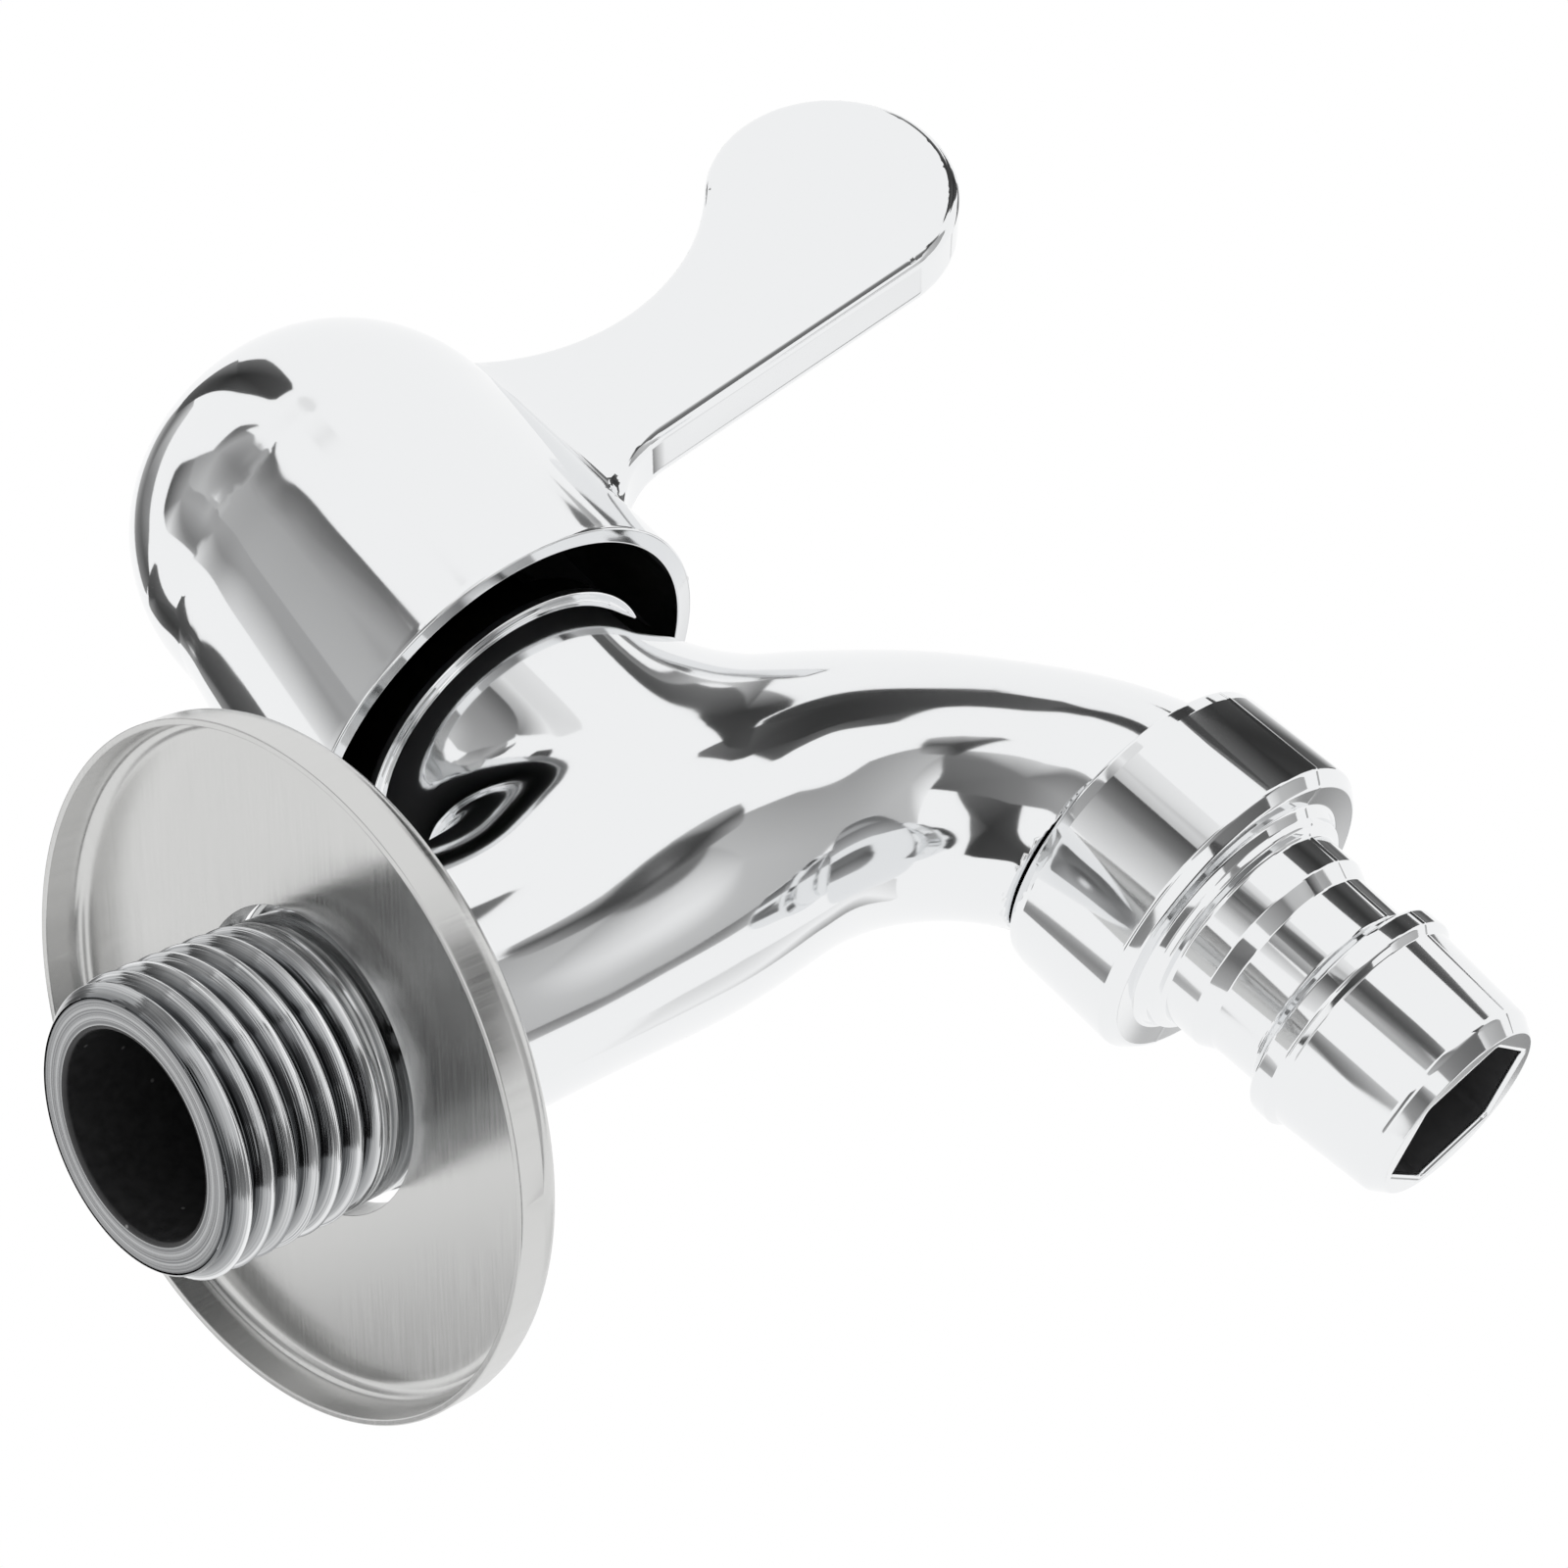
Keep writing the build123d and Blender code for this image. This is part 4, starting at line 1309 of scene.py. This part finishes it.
    def field(self, points: Array) -> Array:
        """Returns the distance to the dome and blade, with the fillet between them."""
        dome, out = self.dome(points)
        blade = self.blade(points)
        near = (np.abs(dome) < self.blend_reach) & (np.abs(blade) < self.blend_reach)
        joined = np.minimum(dome, blade)
        if near.any():
            facing = unit(gradient(self.blade, points[near], 0.05))
            cosine = np.clip((facing * out[near]).sum(1), -0.98, 1)
            joined[near] = rolled(dome[near], blade[near], cosine, self.root_blend)
        return joined

    def build(self) -> None:
        """Makes the casting, its rim, its inside, and the well in its top."""
        skin = skin_of(self.field, self.low, self.high, self.cell)
        rim = self.rim_z + self.rim_trim
        crown = skin.points[:, 2] > self.crown_z
        crown &= np.hypot(skin.points[:, 0], skin.points[:, 1]) < self.well_radius
        skin = skin.kept((skin.points[:, 2] > rim) & ~crown)
        skin = self._sink_well(self._close_rim(skin, rim))
        # Faces inside the dome, past the plated band at the rim, get the dark finish: painted
        # shade where the dome shades its own inside
        middle = skin.centres()
        hidden = (self.dome(middle)[0] < -self.shade_depth) & (middle[:, 0] < self.shoulder_radius)
        hidden &= middle[:, 2] > self.rim_z + self.plated_rim
        skin = skin.turned(self.rest_degrees, self.valve_x)
        finishes = [self.finish, self.bare]
        made = piece("handle_casting", skin, Body.LEVER, finishes, hidden)
        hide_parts("handle")

    def _close_rim(self, skin: Skin, rim: float) -> Skin:
        """Returns the skin with the open rim, the inside wall and the boss for the spindle."""
        near = skin.points[:, 2] < rim + self.edge_reach
        loop = skin.edge_loop(near, (0, 0, 0), 2)
        place = skin.points[loop]
        angles = np.arctan2(place[:, 1], place[:, 0])
        inner = self.rim_radius - self.wall
        corners = [
            Corner(self.rim_radius, self.rim_z + 0.32),
            Corner(self.rim_radius, self.rim_z, 0.28),
            Corner(inner, self.rim_z, 0.2),
            Corner(inner - 0.5, self.rim_z + 6, 1.0),
            Corner(self.shoulder_radius - 1.5, self.shoulder_z, 6.0),
            Corner(self.shoulder_radius - 3.4, self.shoulder_z + 9, 6.0),
            Corner(self.boss_radius + 0.2, self.shoulder_z + 13, 1.5),
            Corner(self.boss_radius, self.boss_low, 0.3),
            Corner(self.boss_bore, self.boss_low, 0.3),
            Corner(self.boss_bore, self.boss_low + 1),
        ]
        rows = []
        boss = False
        for radius, z in outline(corners)[0]:
            boss = boss or radius < self.boss_radius + self.edge_reach
            part = min((z - self.rim_z) / (self.shoulder_z - self.rim_z), 1)
            rows.append(level_ring(angles, radius, z, 0.0 if boss else self.lean * part))
        return skin.with_rows(loop, rows, flip=True)

    def _sink_well(self, skin: Skin) -> Skin:
        """Returns the skin with the wall of the well that the plug sits in."""
        near = skin.points[:, 2] > self.crown_z
        near &= np.hypot(skin.points[:, 0], skin.points[:, 1]) < self.well_reach
        loop = skin.edge_loop(near, (0, 0, 0), 2)
        place = skin.points[loop]
        angles = np.arctan2(place[:, 1], place[:, 0])
        well, plug = self.well_radius, self.plug_radius
        rows = []
        for radius, drop in ((well, 0.0), (well - 0.08, -0.12), (plug, -0.4), (plug, -3.0)):
            ring = level_ring(angles, radius, 0, 0)
            ring[:, 2] = place[:, 2] + drop
            rows.append(ring)
        return skin.with_rows(loop, rows, flip=False)


@dataclass
class Headwork:
    """The valve inside the dome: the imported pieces, each in its own finish."""

    chrome: Material

    def build(self) -> None:
        """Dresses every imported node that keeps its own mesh."""
        brass = PlainFinish("turned_brass", "#C9A45A", "#B08A45", 0.28, metallic=1.0)
        # The housing's near black colour is painted shade: it stands for the shade in the gap
        # under the dome
        black = PlainFinish("brass_dark_as_painted_shade", "#26241F", "#171613", 0.42, metallic=1.0)
        rubber = PlainFinish("moulded_nitrile_rubber", "#1C1C1D", "#101011", 0.6, grain_mm=0.4)
        ceramic = PlainFinish("lapped_alumina", "#EFEAE0", "#E2DCCF", 0.3, relief_mm=0.002)
        nylon = PlainFinish("moulded_nylon", "#E4E3DC", "#D6D4CA", 0.45, grain_mm=0.8)
        steel = PlainFinish("zinc_plated_steel", "#C4C6C9", "#A9ACB0", 0.3, metallic=1.0)
        rings = "lower_spindle_ring upper_spindle_ring"
        dress = (
            (brass.material(), "spindle"),
            (black.material(), "cartridge_housing"),
            (rubber.material(), "nozzle_washer housing_seal seat_seal " + rings),
            (ceramic.material(), "fixed_disc moving_disc"),
            (nylon.material(), "seal_support_ring glide_washer spline_adapter"),
            (steel.material(), "spindle_circlip screw_washer handle_screw"),
            (self.chrome, "handle_plug"),
        )
        for finish, names in dress:
            for name in names.split():
                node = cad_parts[name]
                node.data.materials.clear()
                node.data.materials.append(finish)
                LOG.info("%s: %s", name, finish.name)


# The studio


class Side(Enum):
    """Which pole a flag's corners are measured from."""

    ABOVE = 1
    BELOW = -1


@dataclass(frozen=True)
class Flag:
    """A card that the chrome mirrors.

    Its corners are degrees off straight up, or off straight down, towards X and towards Y,
    as seen from a spot of the tap. Each has its own tone, from 0, black, to 1, white, and
    so has the middle.
    """

    name: str
    side: Side
    tone: float
    spot_mm: tuple[float, float, float]
    reach: float
    corners: tuple[tuple[float, float, float], ...]


def direction(x: float, y: float, side: Side) -> Vector:
    """Returns the direction that lies some degrees off a pole, towards X and towards Y."""
    reach = math.hypot(x, y)
    sine = math.sin(math.radians(reach)) / max(reach, 1e-6)
    return Vector((x * sine, y * sine, side.value * math.cos(math.radians(reach))))


FLAGS = (
    Flag("flag_overhead", Side.ABOVE, 0.17, (36, -5, 45), 0.14, (
        (-15.3, -44.6, 0.28), (-3.9, -49.2, 0.31), (10.8, -20.0, 0.42), (13.5, -3.0, 0.40),
        (16.3, 0.7, 0.53), (14.8, 18.3, 0.37), (7.9, 17.2, 0.33), (-0.8, -5.2, 0.25),
        (-9.1, -23.6, 0.33),
    )),
    Flag("flag_behind_cap", Side.ABOVE, 0.45, (36, -5, 45), 0.65, (
        (-13.3, 45.2, 0.29), (3.3, 49.3, 0.52), (6.4, 38.8, 0.60), (16.9, 26.4, 0.70),
        (13.9, 13.5, 0.45), (10.2, 10.7, 0.42), (-0.2, 5.1, 0.80), (-13.3, 21.9, 0.55),
        (-18.3, 33.2, 0.53),
    )),
    Flag("flag_behind_rim", Side.ABOVE, 0.27, (36, -5, 45), 1.06, (
        (-23.9, 49.6, 0.37), (-26.1, 38.3, 0.38), (-0.7, 49.0, 0.26), (7.3, 50.2, 0.58),
        (0.1, 55.0, 0.38), (-11.3, 56.6, 0.19), (-24.9, 50.5, 0.31),
    )),
    Flag("flag_wall_bar", Side.ABOVE, 0.61, (36, -5, 45), 1.02, (
        (-52.5, 20.8, 0.40), (-36.3, 24.7, 0.93), (-29.5, 20.7, 0.28), (-24.5, 6.4, 0.25),
        (-35.2, -12.7, 0.64), (-51.7, -8.3, 0.60), (-52.7, 2.3, 0.64),
    )),
    Flag("flag_wall_strip", Side.ABOVE, 0.51, (36, -5, 45), 1.07, (
        (-39.6, -7.0, 0.79), (-35.1, -15.5, 0.63), (-27.8, -29.4, 0.33), (-27.7, -40.9, 0.41),
        (-32.1, -30.9, 0.54), (-42.4, -16.2, 0.83),
    )),
    Flag("flag_wall_foot", Side.ABOVE, 0.64, (36, -5, 45), 1.02, (
        (-52.2, 1.1, 0.76), (-28.6, 1.1, 0.55), (-36.3, -20.3, 0.59), (-30.5, -33.7, 0.48),
        (-32.9, -38.4, 0.64), (-47.0, -29.6, 0.39),
    )),
    Flag("flag_near", Side.ABOVE, 0.83, (45, -5, 5), 0.74, (
        (-52.8, -40.3, 0.31), (-31.1, -42.0, 0.39), (-13.7, -48.3, 0.93), (-7.3, -47.5, 0.87),
        (2.5, -54.3, 0.86), (-16.5, -72.3, 0.90), (-24.7, -80.6, 0.80), (-31.4, -80.7, 0.32),
        (-54.5, -71.0, 0.70),
    )),
    Flag("flag_spout", Side.ABOVE, 0.16, (58, -5, 10), 0.31, (
        (61.0, -20.0, 0.26), (80.4, -24.4, 0.55), (73.5, -45.6, 0.41), (74.2, -49.7, 0.42),
        (67.2, -66.2, 0.36), (56.9, -64.2, 0.29), (63.5, -55.5, 0.26), (54.0, -49.5, 0.27),
        (61.8, -28.5, 0.27),
    )),
    Flag("flag_far", Side.ABOVE, 0.39, (78, -5, -25), 0.24, (
        (66.2, -10.8, 0.22), (80.0, -16.6, 0.52), (77.8, 10.6, 0.27), (65.2, 23.6, 0.72),
        (64.1, 33.0, 0.93), (64.4, 1.7, 0.72),
    )),
    Flag("flag_floor_gap", Side.BELOW, 0.21, (45, -5, 0), 0.62, (
        (-18.2, 19.7, 0.30), (13.8, 18.0, 0.23), (11.8, 3.5, 0.42), (14.5, -13.9, 0.43),
        (25.4, -32.3, 0.43), (-3.4, -30.9, 0.30), (-7.1, -4.5, 0.29),
    )),
    Flag("flag_floor", Side.BELOW, 0.48, (45, -5, 0), 0.47, (
        (-29.6, -38.8, 0.71), (-2.1, -26.8, 0.48), (30.4, -28.7, 0.35), (41.7, -27.1, 0.34),
        (40.3, -51.9, 0.43), (27.3, -56.8, 0.75), (3.8, -62.9, 0.82), (-22.6, -79.0, 0.47),
        (-44.5, -55.2, 0.69),
    )),
    Flag("flag_under", Side.BELOW, 0.72, (45, -5, 0), 0.40, (
        (32.2, -62.1, 0.70), (61.6, -37.7, 0.57), (54.1, -3.6, 0.68), (33.4, 1.5, 0.72),
        (34.0, -19.7, 0.93), (32.1, -37.9, 0.89), (39.4, -54.1, 0.48),
    )),
    Flag("flag_under_edge", Side.BELOW, 0.04, (45, -5, 0), 1.20, (
        (33.2, 10.6, 0.55), (43.7, 6.0, 0.73), (42.6, -2.5, 0.15), (42.0, -13.5, 0.39),
        (46.7, -31.6, 0.39), (46.1, -31.0, 0.39), (46.3, -17.1, 0.39), (44.3, -3.9, 0.42),
    )),
    Flag("flag_under_far", Side.BELOW, 0.93, (45, -5, 0), 0.53, (
        (41.8, 49.4, 0.93), (63.4, 40.6, 0.28), (61.1, 33.3, 0.93), (40.6, 29.4, 0.81),
    )),
    Flag("flag_under_dark", Side.BELOW, 0.27, (45, -5, 0), 0.36, (
        (34.0, -50.2, 0.35), (44.9, -48.0, 0.64), (47.7, -53.1, 0.36), (48.3, -57.3, 0.68),
        (35.7, -65.6, 0.70), (30.9, -67.7, 0.35), (33.4, -52.9, 0.22),
    )),
    Flag("flag_spout_left", Side.ABOVE, 0.22, (50, -5, 8), 0.14, (
        (44.3, -27.1, 0.43), (51.9, -18.9, 0.42), (46.3, -20.2, 0.81), (58.7, -40.1, 0.26),
        (53.5, -49.9, 0.23), (54.1, -65.0, 0.30), (46.9, -62.9, 0.27), (41.3, -47.3, 0.25),
    )),
    Flag("flag_nozzle_near", Side.ABOVE, 0.53, (78, -5, -25), 0.55, (
        (-66.8, -15.6, 0.89), (-51.2, -11.8, 0.68), (-32.7, -36.0, 0.56), (-34.2, -51.6, 0.27),
        (-42.7, -61.5, 0.29), (-51.8, -52.2, 0.57), (-63.7, -46.6, 0.86),
    )),
    Flag("flag_nozzle_low", Side.ABOVE, 0.27, (78, -5, -25), 0.33, (
        (-52.5, -63.4, 0.60), (-40.2, -57.9, 0.36), (-25.4, -73.9, 0.47), (-18.2, -84.5, 0.43),
        (-35.2, -81.1, 0.31),
    )),
    Flag("flag_nozzle_left", Side.ABOVE, 0.31, (78, -5, -25), 0.39, (
        (-84.0, 10.2, 0.38), (-83.6, 8.8, 0.79), (-74.8, -20.6, 0.26), (-87.5, -13.4, 0.89),
    )),
    Flag("flag_nozzle_under", Side.BELOW, 0.48, (78, -5, -25), 0.56, (
        (-70.8, 30.8, 0.50), (-53.6, 30.8, 0.70), (-53.7, -10.0, 0.27), (-47.4, -27.9, 0.46),
        (-67.5, -29.4, 0.34), (-70.5, -4.4, 0.56),
    )),
    Flag("flag_nozzle_under2", Side.BELOW, 0.44, (78, -5, -25), 0.32, (
        (-38.0, 25.8, 0.40), (-30.4, 26.3, 0.56), (-30.7, -7.6, 0.37), (-26.6, -20.7, 0.82),
        (-31.7, -20.7, 0.34), (-39.6, -1.3, 0.56),
    )),
    Flag("flag_nozzle_right", Side.ABOVE, 0.19, (78, -5, -25), 0.22, (
        (58.7, -17.7, 0.37), (69.1, -12.4, 0.19), (70.4, -33.8, 0.35), (59.6, -52.7, 0.21),
        (41.3, -65.6, 0.32), (26.9, -58.6, 0.45), (42.3, -49.2, 0.29), (56.4, -31.6, 0.23),
    )),
    Flag("flag_nozzle_top", Side.ABOVE, 0.52, (78, -5, -25), 0.39, (
        (-58.3, 42.3, 0.83), (-46.3, 48.8, 0.64), (-29.9, 57.2, 0.50), (-44.5, 59.5, 0.70),
        (-53.6, 53.2, 0.70),
    )),
    Flag("flag_rim", Side.ABOVE, 0.35, (3, 15, 15), 0.12, (
        (-36.0, 46.0, 0.40), (-29.0, 44.0, 0.30), (-26.0, 52.0, 0.30), (-32.0, 57.0, 0.30),
        (-37.0, 53.0, 0.40),
    )),
)


@dataclass
class Studio:
    """A pale floor far below, white all round, soft lamps, and flags for the chrome to mirror."""

    floor_z: float = -0.215
    floor_half: float = 30.0
    floor_colour: str = "#EDEDED"
    floor_roughness: float = 0.9
    floor_shine: float = 0.1
    room_light: float = 0.9
    mirror: float = 0.86
    rounding: float = 0.12
    target: tuple[float, float, float] = (0.045, 0, 0.01)
    lens: float = 85.5
    sensor: float = 36.0
    clip: Range = (0.005, 20.0)
    camera_mm: tuple[float, float, float] = (-133.2828, -176.7821, -114.8163)
    right: tuple[float, float, float] = (0.69140, -0.28284, -0.66480)
    down: tuple[float, float, float] = (-0.29321, 0.73113, -0.61601)
    ahead: tuple[float, float, float] = (0.66029, 0.62084, 0.42257)

    def aim(self) -> None:
        """Puts the camera where the photograph was taken."""
        camera = bpy.data.cameras.new("camera")
        camera.lens = self.lens
        camera.sensor_width = self.sensor
        camera.clip_start, camera.clip_end = self.clip
        made = linked("camera", camera)
        turn = Matrix((self.right, [-v for v in self.down], [-v for v in self.ahead])).transposed()
        made.matrix_world = Matrix.Translation(Vector(self.camera_mm) * MM) @ turn.to_4x4()
        bpy.context.scene.camera = made

    def surround(self) -> None:
        """Makes the world white for the camera and for mirrors, and dimmer as a lamp."""
        world = bpy.data.worlds.new("white_room")
        bpy.context.scene.world = world
        world.use_nodes = True
        tree = world.node_tree
        tree.nodes.clear()
        rays = add(tree, "LightPath").outputs
        seen = rays["Is Camera Ray"]
        for kind in ("Is Glossy Ray", "Is Transmission Ray"):
            seen = add(tree, "Math", {"operation": "MAXIMUM", 0: seen, 1: rays[kind]}).outputs[0]
        lamp, white = (
            add(tree, "Background", {"Color": (1, 1, 1, 1), "Strength": strength}).outputs[0]
            for strength in (self.room_light, 1.0)
        )
        mix = add(tree, "MixShader", {0: seen, 1: lamp, 2: white})
        add(tree, "OutputWorld", {"Surface": mix.outputs[0]})

    def hang(self, flag: Flag) -> None:
        """Hangs a flag where only mirrors see it, its corners rounded off."""
        middle = Vector(flag.spot_mm) * MM
        sharp = np.array(flag.corners)
        beyond = np.roll(sharp, -1, 0)
        near, far = 1 - self.rounding, self.rounding
        cut = np.stack([sharp * near + beyond * far, sharp * far + beyond * near], 1)
        corners = [(*sharp.mean(0)[:2], flag.tone), *cut.reshape(-1, 3)]
        points = [middle + direction(x, y, flag.side) * flag.reach for x, y, _ in corners]
        count = len(corners) - 1
        faces = [(0, 1 + k, 1 + (k + 1) % count) for k in range(count)]
        mesh = bpy.data.meshes.new(flag.name)
        mesh.from_pydata([tuple(p) for p in points], [], faces)
        shade = mesh.color_attributes.new("tone", "FLOAT_COLOR", "POINT")
        for spot, (_, _, tone) in zip(shade.data, corners):
            value = linear_share(tone) / self.mirror
            spot.color = (value, value, value, 1)
        material, tree = fresh_tree(flag.name)
        tone = add(tree, "VertexColor", {"layer_name": "tone"}).outputs["Color"]
        glow = add(tree, "Emission", {"Strength": 1.0, "Color": tone})
        add(tree, "OutputMaterial", {"Surface": glow.outputs[0]})
        mesh.materials.append(material)
        made = linked(flag.name, mesh)
        for rays in ("camera", "diffuse", "shadow", "transmission"):
            setattr(made, f"visible_{rays}", False)

    def floor(self) -> None:
        """Lays the pale floor."""
        mesh = bpy.data.meshes.new("studio_floor")
        s, z = self.floor_half, self.floor_z
        mesh.from_pydata([(-s, -s, z), (s, -s, z), (s, s, z), (-s, s, z)], [], [(0, 1, 2, 3)])
        material, _ = fresh_tree("matt_white_floor")
        inputs = {"Base Color": linear(self.floor_colour), "Roughness": self.floor_roughness}
        inputs["Specular IOR Level"] = self.floor_shine
        mesh.materials.append(coat(material, inputs))
        made = linked("studio_floor", mesh)
        made.visible_glossy = False

    def lamp(self, name: str, place: Vector, size: float, watts: float) -> None:
        """Hangs a soft square lamp aimed at the tap.

        Args:
            name: The lamp's name.
            place: Where it hangs, in metres.
            size: Its side, in metres.
            watts: Its power.
        """
        light = bpy.data.lights.new(name, "AREA")
        light.size = size
        light.energy = watts
        made = linked(name, light)
        made.visible_glossy = False
        turn = (place - Vector(self.target)).to_track_quat("Z", "Y").to_matrix().to_4x4()
        made.matrix_world = Matrix.Translation(place) @ turn

    def build(self) -> None:
        """Sets up camera, room, floor and lamps."""
        bpy.context.scene.view_settings.view_transform = "Standard"
        self.aim()
        self.surround()
        self.floor()
        for flag in FLAGS:
            self.hang(flag)
        self.lamp("key_lamp", Vector((-0.5, -0.9, 1.2)), size=0.9, watts=3.0)
        self.lamp("fill_lamp", Vector((1.1, -0.6, 0.7)), size=0.7, watts=1.5)


def main() -> None:
    """Builds the studio and every piece in order."""
    logging.basicConfig(level=logging.INFO, format="%(message)s")
    Studio().build()
    chrome = ChromePlate().material()
    stainless = PressedStainless().material()
    TapBody(chrome).build()
    # The cut thread's root colour is painted shade in its roots, and its bright crest colour is
    # partly painted highlight
    cut = TurnedPlate(
        "plated_cut_thread", crest="#F4F5F6", root="#434547", torn="#8E9092", relief_mm=0.036
    )
    faced = TurnedPlate(
        "plated_turned_face",
        crest="#B9BABB",
        root="#B9BABB",
        torn="#5A5B5D",
        roughness=0.22,
        ring_mm=0.3,
        relief_mm=0.03,
    )
    bore = PlainFinish(
        "bare_cast_bore",
        colour="#4A4A4B",
        dark="#2A2A2B",
        roughness=0.45,
        metallic=0.6,
        grain_mm=0.7,
        relief_mm=0.03,
        speck="#B4B4B4",
    )
    # Dark grey on the dome's inside and in the nozzle's socket and bore: unplated metal, darkened
    # as painted shade for the shade in these recesses
    inside = PlainFinish(
        "painted_shade_inside", colour="#3C3C3D", dark="#2A2A2B", roughness=0.55, grain_mm=0.8
    )
    dark = inside.material()
    InletThread(cut.material(), faced.material(), bore.material()).build()
    CoverFlange(stainless).build()
    HoseNozzle(chrome, dark).build()
    LeverHandle(chrome, dark).build()
    Headwork(chrome).build()


if __name__ == "__main__":
    main()
